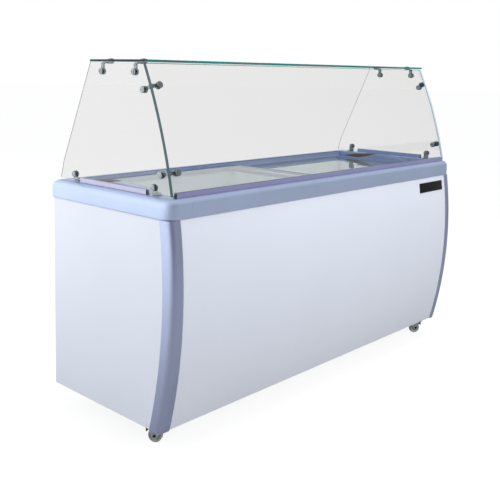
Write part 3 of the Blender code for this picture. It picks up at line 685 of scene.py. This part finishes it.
def build_liner():
    """The tub's inside, with rounded corners, and the flange that the rim covers."""
    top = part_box("tub_liner")[1].z
    outline = [(-TUB_X, TUB_FLOOR), (TUB_STEP_X, TUB_FLOOR), (TUB_STEP_X, TUB_STEP_Z),
               (TUB_X, TUB_STEP_Z), (TUB_X, top), (-TUB_X, top)]
    bm = bmesh.new()
    walls = [[bm.verts.new((x, y, z)) for x, z in outline] for y in (TUB_FRONT, TUB_REAR)]
    for line in walls:
        bm.faces.new(line)
    for i in (0, 1, 2, 3, 5):
        j = (i + 1) % 6
        bm.faces.new((walls[0][i], walls[0][j], walls[1][j], walls[1][i]))
    inner_edges = [e for e in bm.edges if not e.is_boundary]
    bmesh.ops.bevel(bm, geom=inner_edges, offset=TUB_ROUND, segments=6, profile=0.5,
                    affect="EDGES", clamp_overlap=True)
    bmesh.ops.recalc_face_normals(bm, faces=bm.faces)
    border = [e for e in bm.edges if e.is_boundary]
    grown = bmesh.ops.extrude_edge_only(bm, edges=border)
    for vert in (v for v in grown["geom"] if isinstance(v, bmesh.types.BMVert)):
        share = (vert.co.y - TUB_FRONT) / (TUB_REAR - TUB_FRONT)
        vert.co.x *= FLANGE_X / TUB_X
        vert.co.y = FLANGE_FRONT + share * (FLANGE_REAR - FLANGE_FRONT)
    mesh = bpy.data.meshes.new("tub_shell")
    bm.to_mesh(mesh)
    bm.free()
    made = dress(bpy.data.objects.new("tub_shell", mesh), "liner", 50)
    stand_for(made, "cabinet", "liner", "tub_liner")


ARCH_PEAK_Y = 0.045
ARCH_TOP = {"left": 0.886, "right": 0.875}
ARCH_RADIUS = {"left": 1.2, "right": 0.90}
ARCH_FRONT, ARCH_REAR = -0.160, 0.240
GRIP_FRONT, GRIP_DEPTH = 0.045, 0.018
LID_CAP, LID_RAIL = 0.044, 0.018
LID_STILE = {"left": 0.010, "right": 0.014}


def arch_z(side, y):
    """Height of a handle's arch."""
    return ARCH_TOP[side] - (y - ARCH_PEAK_Y) ** 2 / (2 * ARCH_RADIUS[side])


def grip_bed(side, y, rear, high):
    """Height of the hollow that the grip lies in."""
    share = (y - GRIP_FRONT) / (rear - 0.004 - GRIP_FRONT)
    depth = min(GRIP_DEPTH, 0.6 * (ARCH_TOP[side] - high))
    return arch_z(side, y) - depth * math.sin(math.pi * share)


def build_lid(side, s):
    """A frame of four bars round the pane, an arched handle at its outer end and the
    ribbed grip let into it."""
    low, box_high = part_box("lid_frame_" + side)
    pane_low, pane_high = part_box("lid_pane_" + side)
    high = pane_high.z + 0.0006
    front, rear = low.y, box_high.y
    x_out, x_in = (low.x, box_high.x) if s < 0 else (box_high.x, low.x)
    x_cap = x_out - s * LID_CAP
    stile = LID_STILE[side]
    # painted shade: the right arch takes the darker copy of the blue, the left one the plain
    # blue
    finish = "blue" if s < 0 else "blue_deep"

    def bar(x0, x1, y0, y1):
        # the bars take the darker copy of the blue: painted shade
        made = block("bar", (min(x0, x1), y0, low.z), (max(x0, x1), y1, high), "blue_deep")
        return bevel(made, 0.0015, 3)

    bars = [bar(x_out, x_in, front, front + LID_RAIL), bar(x_out, x_in, rear - LID_RAIL, rear),
            bar(x_in + s * stile, x_in, front + LID_RAIL - 0.002, rear - LID_RAIL + 0.002),
            bar(x_out, x_cap, front + LID_RAIL - 0.002, rear - LID_RAIL + 0.002)]

    reach = math.sqrt(2 * ARCH_RADIUS[side] * (ARCH_TOP[side] - high - 0.001))
    y0, y1 = max(ARCH_FRONT, ARCH_PEAK_Y - reach), min(ARCH_REAR, ARCH_PEAK_Y + reach)
    crest = [(y, arch_z(side, y)) for y in rows(y0, GRIP_FRONT, 24)]
    bed = [(y, grip_bed(side, y, y1, high)) for y in rows(GRIP_FRONT, y1 - 0.004, 20)]
    inset = s * 0.0006
    arch = prism("arch", "X", x_out - inset, x_cap + inset,
                 [(y1, high - 0.003), (y0, high - 0.003)] + crest + bed[1:]
                 + [(y1, arch_z(side, y1))], finish)
    bars.append(bevel(arch, 0.0020, 3, 40))
    made = gather("lid_surround_" + side, *bars)
    stand_for(made, "lid_" + side, "blue_plastic", "lid_frame_" + side)

    ends = rows(GRIP_FRONT + 0.006, y1 - 0.012, 33)
    ripple = 0.0005
    top = [(y, arch_z(side, y) - (ripple if i % 2 else 0)) for i, y in enumerate(ends)]
    under = [(y, grip_bed(side, y, y1, high) + SEAM) for y in reversed(ends[::4])]
    grip = prism("grip_pad_" + side, "X", x_out - s * 0.002, x_cap + s * 0.002, top + under,
                 "brown", sharp=60)
    stand_for(grip, "lid_" + side, "brown", "lid_grip_" + side)

    pane = prism("lid_glazing_" + side, "Z", pane_low.z, pane_high.z,
                 rectangle(pane_low, pane_high), ("lid_glass", "edge"), sheet_slot)
    bevel(pane, 0.0005, 1, 40, 1)
    stand_for(pane, "lid_" + side, "glass", "lid_pane_" + side)


# -------- glass guard
def guard_centre():
    """The middle of the front pane's curve, in Y and Z."""
    foot, head = Vector((GUARD_FOOT_Y, GUARD_FOOT_Z)), Vector((GUARD_HEAD_Y, GUARD_HEAD_Z))
    chord = head - foot
    away = math.sqrt(GUARD_RADIUS ** 2 - (chord.length / 2) ** 2)
    normal = Vector((chord.y, -chord.x)).normalized()
    return (foot + head) / 2 + normal * away


def guard_point(turn, depth):
    """A place on the front pane's curve, at a depth behind its face."""
    centre = guard_centre()
    radius = GUARD_RADIUS - depth
    return (centre.x - radius * math.cos(turn), centre.y + radius * math.sin(turn))


def guard_turn(z, depth=0.0):
    """The curve's angle at a height."""
    return math.asin((z - guard_centre().y) / (GUARD_RADIUS - depth))


def clamp_frame(s, z):
    """Frame in the glass corner: columns run inwards from the side pane, inwards from
    the front pane, and up along it."""
    turn = guard_turn(z, GLASS)
    y, z = guard_point(turn, GLASS)
    inward = Vector((0, math.cos(turn), -math.sin(turn)))
    up = Vector((0, math.sin(turn), math.cos(turn)))
    return Matrix.Translation((s * (GUARD_X - GLASS), y, z)) @ Matrix(
        (Vector((-s, 0, 0)), inward, up)).transposed().to_4x4()


LEFT_END_BAND = 0.0055         # the band of greyer edge colour over the front pane's left end
REFLECTION_BAND = 0.014           # and the pale band at its right end, a painted reflection


def build_panes():
    """The curved front pane, the two side panes and the shelf, with their green edges."""
    count = 33
    bends = rows(guard_turn(GUARD_FOOT_Z), guard_turn(GUARD_HEAD_Z) - 0.0016, count)
    outline = ([guard_point(t, 0) for t in bends]
               + [guard_point(t, GLASS) for t in bends][::-1])

    def front_slot(part, index):
        if part == "cap":
            return 3 if index == 0 else 2
        return 1 if index in (count - 1, 2 * count - 1) else 0

    stations = (-GUARD_X, LEFT_END_BAND - GUARD_X, GUARD_X - REFLECTION_BAND, GUARD_X)
    front = loft("guard_front_pane", [[(x, y, z) for y, z in outline] for x in stations],
                 ("glass", "edge", "edge_painted_reflection", "end_edge"), front_slot)
    applied(bevel(front, 0.0010, 1, 50, 1))
    # a band of the greyer edge colour over the front pane's left end
    recolour(front, "end_edge", lambda spot, way: spot.x < LEFT_END_BAND - GUARD_X)
    # painted reflection: a pale band over the front pane's right end
    recolour(front, "edge_painted_reflection", lambda spot, way: spot.x > GUARD_X - REFLECTION_BAND)
    stand_for(front, "cabinet", "glass", "guard_front_glass")

    edge = [guard_point(t, GLASS + 0.0006)
            for t in rows(guard_turn(GUARD_FOOT_Z), guard_turn(GUARD_HEAD_Z) - 0.002, count)]
    edge[0] = (edge[0][0], GUARD_FOOT_Z)
    rear = [(SIDE_HEAD_Y, GUARD_HEAD_Z), SIDE_KNEE, (SIDE_FOOT_Y, GUARD_FOOT_Z)]

    def side_slot(part, index):
        if part == "cap":
            return 0
        # the rear edges take the pale edge colour: painted reflection
        return 1 if index < count - 1 else 2

    for side, s in SIDES:
        pane = prism("guard_side_pane_" + side, "X", s * (GUARD_X - GLASS), s * GUARD_X,
                     edge + rear, ("end_glass" if s < 0 else "clear", "edge", "edge_painted_reflection"),
                     side_slot)
        bevel(pane, 0.0006, 1, 50)
        stand_for(pane, "cabinet", "glass", "guard_side_glass_" + side)

    shelf = prism("guard_shelf_pane", "Z", shelf_low.z, shelf_high.z,
                  rectangle(shelf_low, shelf_high), ("clear", "edge"), sheet_slot)
    applied(bevel(shelf, 0.0008, 1, 50))
    # painted shade: the shelf's left end takes the darker edge colour
    recolour(shelf, "edge_painted_shade", lambda spot, way: spot.x < -GUARD_X + 0.0001)
    stand_for(shelf, "cabinet", "glass", "guard_top_glass")


def build_rails():
    """Open channels with rolled lips that the front and side panes stand in."""
    for name in ("glass_rail_front", "glass_rail_left", "glass_rail_right"):
        low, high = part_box(name)
        along_x = name.endswith("front")
        wall = 0.0030 if along_x else 0.0042
        a0, a1 = (low.y, high.y) if along_x else (low.x, high.x)
        base = low.z + 0.0032
        section = [(a0, low.z), (a1, low.z), (a1, high.z), (a1 - wall, high.z),
                   (a1 - wall, base), (a0 + wall, base), (a0 + wall, high.z), (a0, high.z)]
        ends = (low.x, high.x) if along_x else (low.y, high.y)
        # the front rail has the plain violet; the left rail a lighter copy (painted light), the
        # right rail the darker blue (painted shade)
        finish = {"front": "violet", "left": "lavender", "right": "blue_deep"}
        made = prism(name + "_channel", "X" if along_x else "Y", ends[0], ends[1], section,
                     finish[name.split("_")[-1]])
        applied(bevel(made, 0.0012, 3, 40))
        # the channels' end faces are painted black: painted shade standing for the dark hollow
        # at the open end
        recolour(made, "black", lambda spot, way: abs(way.x if along_x else way.y) > 0.95)
        stand_for(made, "cabinet", "violet_rail", name)


# -------- glass hardware
SHELF_CLAMP_Z = 1.2745
CORNER_CLAMP_Z = {"upper": 1.231, "lower": 0.951}
PAD = 0.012                 # radius of the clamps' pads
FOOT_Z, FOOT_HALF = 0.898, 0.0125


def disc(spot_frame, radius, low, high, soft=0.0022):
    """A round pad between two heights of its frame's Z, with soft rims."""
    soft = min(soft, (high - low) / 2.2)
    profile = [(0, low)] + [(radius - soft + x, low + soft + z) for x, z in
                            arc((0, 0), soft, -90, 0, 4)]
    profile += [(radius - soft + x, high - soft + z) for x, z in arc((0, 0), soft, 0, 90, 4)]
    profile += [(0, high)]
    return lathe("disc", profile, "chrome", 28, spot_frame)


def cap_screw(spot_frame, radius, base, tall):
    """A rounded screw head with a socket in its top."""
    profile = [(0, base + tall * 0.45), (radius * 0.45, base + tall * 0.45),
               (radius * 0.5, base + tall), (radius * 0.8, base + tall * 0.93),
               (radius, base + tall * 0.55), (radius, base), (0, base)]
    return lathe("screw_head", profile, "chrome", 20, spot_frame)


def fit_hardware(name, s, parts):
    """Joins a fitting's parts; at the right end the chrome is swapped for a darker copy, a
    painted dark reflection.
    """
    made = gather(name + "_metal", *parts)
    if s > 0:
        made.data.materials[0] = MAT["steel"]
    stand_for(made, "cabinet", "chrome", name)


def build_shelf_clamp(name, s):
    """An arm bent over between a pad pair on the side pane and one on the shelf."""
    low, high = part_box(name)
    y, z = (low.y + high.y) / 2, SHELF_CLAMP_Z
    face, under = GUARD_X - GLASS, shelf_low.z
    arm_x = GUARD_X - 0.042
    outside = facing((s * GUARD_X, y, z), (s, 0, 0))
    inside = facing((s * face, y, z), (-s, 0, 0))
    beneath = facing((s * arm_x, y, under), (0, 0, -1))
    above = facing((s * arm_x, y, GUARD_TOP), (0, 0, 1))
    bend, half = 0.0060, 0.0075
    outer, inner = face - 0.0012, face - 0.0072
    high, low = under - 0.0008, under - 0.0065
    line = [(outer, z - 0.006), (inner, z - 0.006), (inner, low - bend * 0.3),
            (inner - bend * 0.3, low), (arm_x, low), (arm_x, high), (outer - bend, high),
            (outer - bend * 0.3, high - bend * 0.3), (outer, under - bend)]
    arm = prism("strap", "Y", y - half, y + half, [(s * a, c) for a, c in line], "chrome")
    bevel(arm, 0.0010, 2, 40)
    parts = [disc(outside, PAD, SEAM, 0.0052), cap_screw(outside, 0.0068, 0.0050, 0.0030),
             disc(inside, PAD, SEAM, 0.010), arm, disc(beneath, PAD, SEAM, 0.0068),
             disc(above, PAD, SEAM, 0.0026, 0.0010),
             cap_screw(above, 0.0066, 0.0024, 0.0016)]
    fit_hardware(name, s, parts)


def build_corner_clamp(name, s, z):
    """Two arms from a knee in the glass corner to a pad pair on each pane."""
    frame_of = clamp_frame(s, z)
    side_arm, front_arm = 0.036, 0.032

    def local(spot, way):
        return frame_of @ facing(spot, way)

    in_side = local((0, side_arm, 0), (1, 0, 0))
    out_side = local((-GLASS, side_arm, 0), (-1, 0, 0))
    in_front = local((front_arm, 0, 0), (0, 1, 0))
    out_front = local((front_arm, -GLASS, 0), (0, -1, 0))
    arms = []
    for low, high in (((0.0016, 0.0040, -0.0062), (0.0086, side_arm, 0.0062)),
                      ((0.0016, 0.0016, -0.0062), (front_arm, 0.0086, 0.0062))):
        arm = block("arm", low, high, "chrome")
        arm.data.transform(frame_of)
        arms.append(bevel(arm, 0.0018, 3, 40))
    knee = lathe("knee", [(0, -0.0075)] + arc((0.0035, -0.0045), 0.0030, -90, 0, 3)
                 + arc((0.0035, 0.0045), 0.0030, 0, 90, 3) + [(0, 0.0075)], "chrome", 20,
                 frame_of @ Matrix.Translation((0.0085, 0.0085, 0)))
    parts = [disc(in_side, PAD, SEAM, 0.010), disc(out_side, PAD, SEAM, 0.0058),
             cap_screw(out_side, 0.0066, 0.0055, 0.0018),
             disc(in_front, PAD, 0.0006, 0.010), disc(out_front, PAD, 0.0007, 0.0056),
             cap_screw(out_front, 0.0066, 0.0053, 0.0018), knee, *arms]
    fit_hardware(name, s, parts)


def build_glass_foot(name, s):
    """An angle that stands on the rim and holds the side pane between two pads."""
    low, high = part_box(name)
    y, z, base = (low.y + high.y) / 2, FOOT_Z, low.z
    face = GUARD_X - GLASS
    outside = facing((s * GUARD_X, y, z), (s, 0, 0))
    inside = facing((s * face, y, z), (-s, 0, 0))
    upright = ([(y - FOOT_HALF, base), (y + FOOT_HALF, base)]
               + arc((y, z), FOOT_HALF, 0, 180, 16))
    plate = prism("plate", "X", s * (face - SEAM), s * (face - 0.0044), upright, "chrome")
    bevel(plate, 0.0008, 2, 40)
    toe_low, toe_high = sorted((s * (face - 0.0040), s * 0.838))
    toe = bevel(block("toe", (toe_low, y - FOOT_HALF, base),
                      (toe_high, y + FOOT_HALF, base + 0.004), "chrome"), 0.0010, 2)
    parts = [plate, toe, disc(inside, 0.009, 0.0040, 0.0104),
             disc(outside, PAD, SEAM, 0.0072), cap_screw(outside, 0.0070, 0.0070, 0.0020)]
    fit_hardware(name, s, parts)


def build_hardware():
    for side, s in SIDES:
        for end in ("rear", "front"):
            build_shelf_clamp(f"shelf_clamp_{side}_{end}", s)
            build_glass_foot(f"glass_foot_{side}_{end}", s)
        for level, z in CORNER_CLAMP_Z.items():
            build_corner_clamp(f"corner_clamp_{side}_{level}", s, z)


def build_badge():
    """A plain black plate with softened ends and no marks on it."""
    low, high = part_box("badge_plate")
    outline = [(low.x, 0.0011), (low.x, -0.0004), (low.x + 0.0010, -0.0008),
               (high.x - 0.0010, -0.0008), (high.x, -0.0004), (high.x, 0.0011)]
    made = bulged("badge_blank", outline, low.z, high.z, "black", 9)
    bevel(made, 0.0003, 2, 40)
    stand_for(made, "cabinet", "black", "badge_plate")


# -------- casters
CASTER_TRAIL = 0.024
AXLE_Z = 0.025


def band(name, outer, inner, low, high, mats):
    """A raised border between two paths in X-Z, from low to high in Y."""
    return loft(name, [[(a[0], low, a[1]), (b[0], low, b[1]), (b[0], high, b[1]),
                        (a[0], high, a[1])] for a, b in zip(outer, inner)], mats)


def build_caster(corner):
    """A pressed fork on a ball race, a wheel with a hub, and at the front a brake lever.
    Local X is the way the wheel trails."""
    swivel, roll = JOINTS["swivel_" + corner], JOINTS["roll_" + corner]
    heading = math.atan2(-roll["axis"][0], roll["axis"][1])
    frame_of = (Matrix.Translation((swivel["pos_m"][0], swivel["pos_m"][1], 0))
                @ Matrix.Rotation(heading, 4, "Z"))
    braked = corner.startswith("front")

    race = lathe("race", [(0, 0.0638), (0.0150, 0.0640), (0.0186, 0.0656), (0.0192, 0.0680),
                          (0.0180, 0.0692), (0.0180, 0.0700), (0.0190, 0.0708),
                          (0.0180, 0.0722), (0, 0.0722)], "zinc", 32)
    bridge = bevel(block("bridge", (-0.013, -0.0145, 0.0620), (0.047, 0.0145, 0.0655),
                         "zinc"), 0.0016, 3)
    parts = [race, bridge]

    def vee(inset):
        """The cheek's outline from its front top corner round the axle to its rear one."""
        tip = 0.0100 - inset
        return ([(-0.013 + inset, 0.0650), (-0.0085 + inset, 0.0500)]
                + arc((CASTER_TRAIL, AXLE_Z), tip, 205, 335, 10)
                + [(0.0455 - inset, 0.0520), (0.047 - inset, 0.0650)])

    for way in (-1, 1):
        low, high = sorted((way * 0.0120, way * 0.0145))
        parts.append(bevel(prism("cheek", "Y", low, high, vee(0), "zinc"), 0.0006, 2, 40))
        low, high = sorted((way * 0.0143, way * 0.0156))
        # the raised border takes the brighter zinc: painted highlight
        parts.append(bevel(band("border", vee(0.0004), vee(0.0030), low, high, "zinc_bright"),
                           0.0004, 2, 40))
        hub = facing((CASTER_TRAIL, way * 0.0145, AXLE_Z), (0, way, 0))
        parts.append(lathe("nut", [(0, 0.0036), (0.0042, 0.0036), (0.0054, 0.0026),
                                   (0.0054, 0), (0, 0)], "black", 6, hub))
    for part in parts:
        part.data.transform(frame_of)
    fork = gather("fork_" + corner, *parts)
    stand_for(fork, "caster_" + corner, "zinc", "caster_fork_" + corner)

    rim, half = AXLE_Z, 0.010
    profile = ([(0.0045, -half), (0.0095, -half), (0.0108, -half + 0.0022),
                (0.0172, -half + 0.0026), (0.0186, -half + 0.0004)]
               + arc((rim - 0.0030, -half + 0.0030), 0.0030, -90, 0, 5)
               + arc((rim - 0.0030, half - 0.0030), 0.0030, 0, 90, 5)
               + [(0.0186, half - 0.0004), (0.0172, half - 0.0026), (0.0108, half - 0.0022),
                  (0.0095, half), (0.0045, half)])
    axle = frame_of @ facing((CASTER_TRAIL, 0, AXLE_Z), (0, 1, 0))
    wheel = lathe("tread_" + corner, profile, "tyre", 56, axle)
    stand_for(wheel, "wheel_" + corner, "tyre", "caster_wheel_" + corner)

    if braked:
        outline = [(0.0090, 0.0582), (0.0140, 0.0588), (0.0300, 0.0548), (0.0420, 0.0630),
                   (0.0516, 0.0700), (0.0546, 0.0668), (0.0450, 0.0580), (0.0330, 0.0490),
                   (0.0320, 0.0372), (0.0286, 0.0362), (0.0275, 0.0460), (0.0200, 0.0500),
                   (0.0095, 0.0508)]
        outline = [(CASTER_TRAIL + x, z) for x, z in outline]
        lever = bevel(prism("lever_" + corner, "Y", -0.0105, 0.0105, outline, "black"),
                      0.0010, 3, 25)
        lever.data.transform(frame_of)
        stand_for(lever, "pedal_" + corner, "black", "brake_pedal_" + corner)


# -------- the CAD nodes that show
def finish_nodes():
    for mat, names in {
        "white": ["rear_panel"],
        "zinc": ["base_pan", "caster_rail_left", "caster_rail_right", "fan_shroud"],
        "foam": ["foam_insulation"],
        "black": ["compressor", "cord_gland", "thermostat_knob", "fan_rotor"],
        "fins": ["condenser"],
        "blue": ["service_grille", "lid_track_front", "lid_track_rear"],
    }.items():
        for name in names:
            NODES[name].data.materials.clear()
            NODES[name].data.materials.append(MAT[mat])


# -------- studio
def calculate(tree, operation, first, second):
    made = tree.nodes.new("ShaderNodeMath")
    made.operation = operation
    for socket, value in zip(made.inputs, (first, second)):
        if isinstance(value, float):
            socket.default_value = value
        else:
            tree.links.new(value, socket)
    return made.outputs["Value"]


def toward(tree, vector, direction):
    """How far a vector goes along a direction."""
    made = tree.nodes.new("ShaderNodeVectorMath")
    made.operation = "DOT_PRODUCT"
    made.inputs[1].default_value = direction
    tree.links.new(vector, made.inputs[0])
    return made.outputs["Value"]


def straight_view(tree):
    """1 for what is seen directly or through glass, 0 for reflections and soft light."""
    ray = tree.nodes.new("ShaderNodeLightPath").outputs
    turned = calculate(tree, "ADD", ray["Diffuse Depth"], ray["Glossy Depth"])
    fresh = calculate(tree, "LESS_THAN", turned, 0.5)
    through = calculate(tree, "MULTIPLY", ray["Is Transmission Ray"], fresh)
    return calculate(tree, "MAXIMUM", ray["Is Camera Ray"], through)


def build_world():
    """A white studio as reflections and soft light see it: a bright backdrop behind, a
    bright side at the left rear, a paler one at the right front, and the dark room that
    the camera looks from. What shows directly, or through glass, is plain white."""
    world = bpy.data.worlds.new("studio")
    world.use_nodes = True
    tree = world.node_tree
    nodes, links = tree.nodes, tree.links
    back = nodes["Background"]
    way = nodes.new("ShaderNodeTexCoord")

    def lobe(direction, start, end, low, high):
        """A value that rises as the view turns towards a direction."""
        share = toward(tree, way.outputs["Generated"], Vector(direction).normalized())
        return spread(tree, share, low, high, start, end, True)

    total = lobe((0, 0, 1), 0.3, 1.0, 0.16, 0.45)
    for part in (lobe((0.55, 0.80, -0.15), 0.45, 0.90, 0.0, 0.60),
                 lobe((-0.80, 0.60, -0.10), 0.00, 0.95, 0.0, 1.28),
                 lobe((0.80, -0.58, 0.05), 0.50, 0.95, 0.0, 0.25)):
        total = calculate(tree, "ADD", total, part)
    links.new(total, back.inputs["Strength"])
    put(back, {"Color": (0.97, 0.985, 1.0, 1)})

    seen = nodes.new("ShaderNodeBackground")
    put(seen, {"Color": (1, 1, 1, 1)})
    mixed = nodes.new("ShaderNodeMixShader")
    links.new(straight_view(tree), mixed.inputs["Fac"])
    links.new(back.outputs["Background"], mixed.inputs[1])
    links.new(seen.outputs["Background"], mixed.inputs[2])
    links.new(mixed.outputs["Shader"], nodes["World Output"].inputs["Surface"])
    bpy.context.scene.world = world


FLOOR_WAY = (-0.75, 0.66, 0.0)
FLOOR_GLOW = 0.88


def build_floor():
    """A pale studio floor that runs out to the horizon. Seen straight it glows evenly; in
    reflections it brightens towards the left rear, as the backdrop does."""
    made, tree, shader = node_tree("pale_floor")
    nodes, links = tree.nodes, tree.links
    nodes.remove(shader)
    paint = nodes.new("ShaderNodeBsdfDiffuse")
    put(paint, {"Color": (0.18, 0.18, 0.18, 1)})
    glow = nodes.new("ShaderNodeEmission")
    spot = nodes.new("ShaderNodeNewGeometry")
    across = toward(tree, spot.outputs["Position"], FLOOR_WAY)
    far = spread(tree, across, 0.15, 1.28, 0.4, 4.5, True)
    scaled = nodes.new("ShaderNodeMapRange")
    put(scaled, {"To Max": FLOOR_GLOW})
    links.new(far, scaled.inputs["To Min"])
    links.new(straight_view(tree), scaled.inputs["Value"])
    links.new(scaled.outputs["Result"], glow.inputs["Strength"])
    both = nodes.new("ShaderNodeAddShader")
    links.new(paint.outputs["BSDF"], both.inputs[0])
    links.new(glow.outputs["Emission"], both.inputs[1])
    links.new(both.outputs["Shader"], nodes["Material Output"].inputs["Surface"])

    radius, drop = 60.0, 0.0005
    ring = [(radius * math.cos(t), radius * math.sin(t), -drop)
            for t in (2 * math.pi * i / 64 for i in range(64))]
    mesh = bpy.data.meshes.new("floor")
    mesh.from_pydata(ring, [], [tuple(range(64))])
    floor = bpy.data.objects.new("floor", mesh)
    floor.data.materials.append(made)
    bpy.context.scene.collection.objects.link(floor)


def area_light(name, spot, aim, size, power, colour=(1, 1, 1)):
    data = bpy.data.lights.new(name, "AREA")
    data.shape = "RECTANGLE"
    data.size, data.size_y = size
    data.energy = power
    data.color = colour
    lamp = bpy.data.objects.new(name, data)
    way = Vector(aim) - Vector(spot)
    lamp.matrix_world = (Matrix.Translation(spot)
                         @ way.to_track_quat("-Z", "Y").to_matrix().to_4x4())
    lamp.visible_camera = lamp.visible_glossy = lamp.visible_transmission = False
    bpy.context.scene.collection.objects.link(lamp)


def build_studio():
    build_world()
    build_floor()
    centre = (0.0, 0.0, 0.7)
    area_light("key", (-3.2, 1.7, 2.7), centre, (2.6, 2.2), 29.0, (0.96, 0.98, 1.0))
    area_light("fill", (0.6, -4.3, 2.8), centre, (2.6, 2.0), 140.0, (0.98, 0.99, 1.0))
    area_light("top", (0.4, 0.2, 4.2), centre, (3.0, 2.0), 80.0)
    bpy.context.scene.view_settings.view_transform = "Standard"


build_camera()
build_studio()
build_front_panel()
build_posts()
build_end_panels()
build_rear_details()
build_rim()
build_liner()
for lid_side, lid_sign in SIDES:
    build_lid(lid_side, lid_sign)
build_panes()
build_rails()
build_hardware()
build_badge()
for caster_corner in ("front_left", "front_right", "rear_left", "rear_right"):
    build_caster(caster_corner)
finish_nodes()
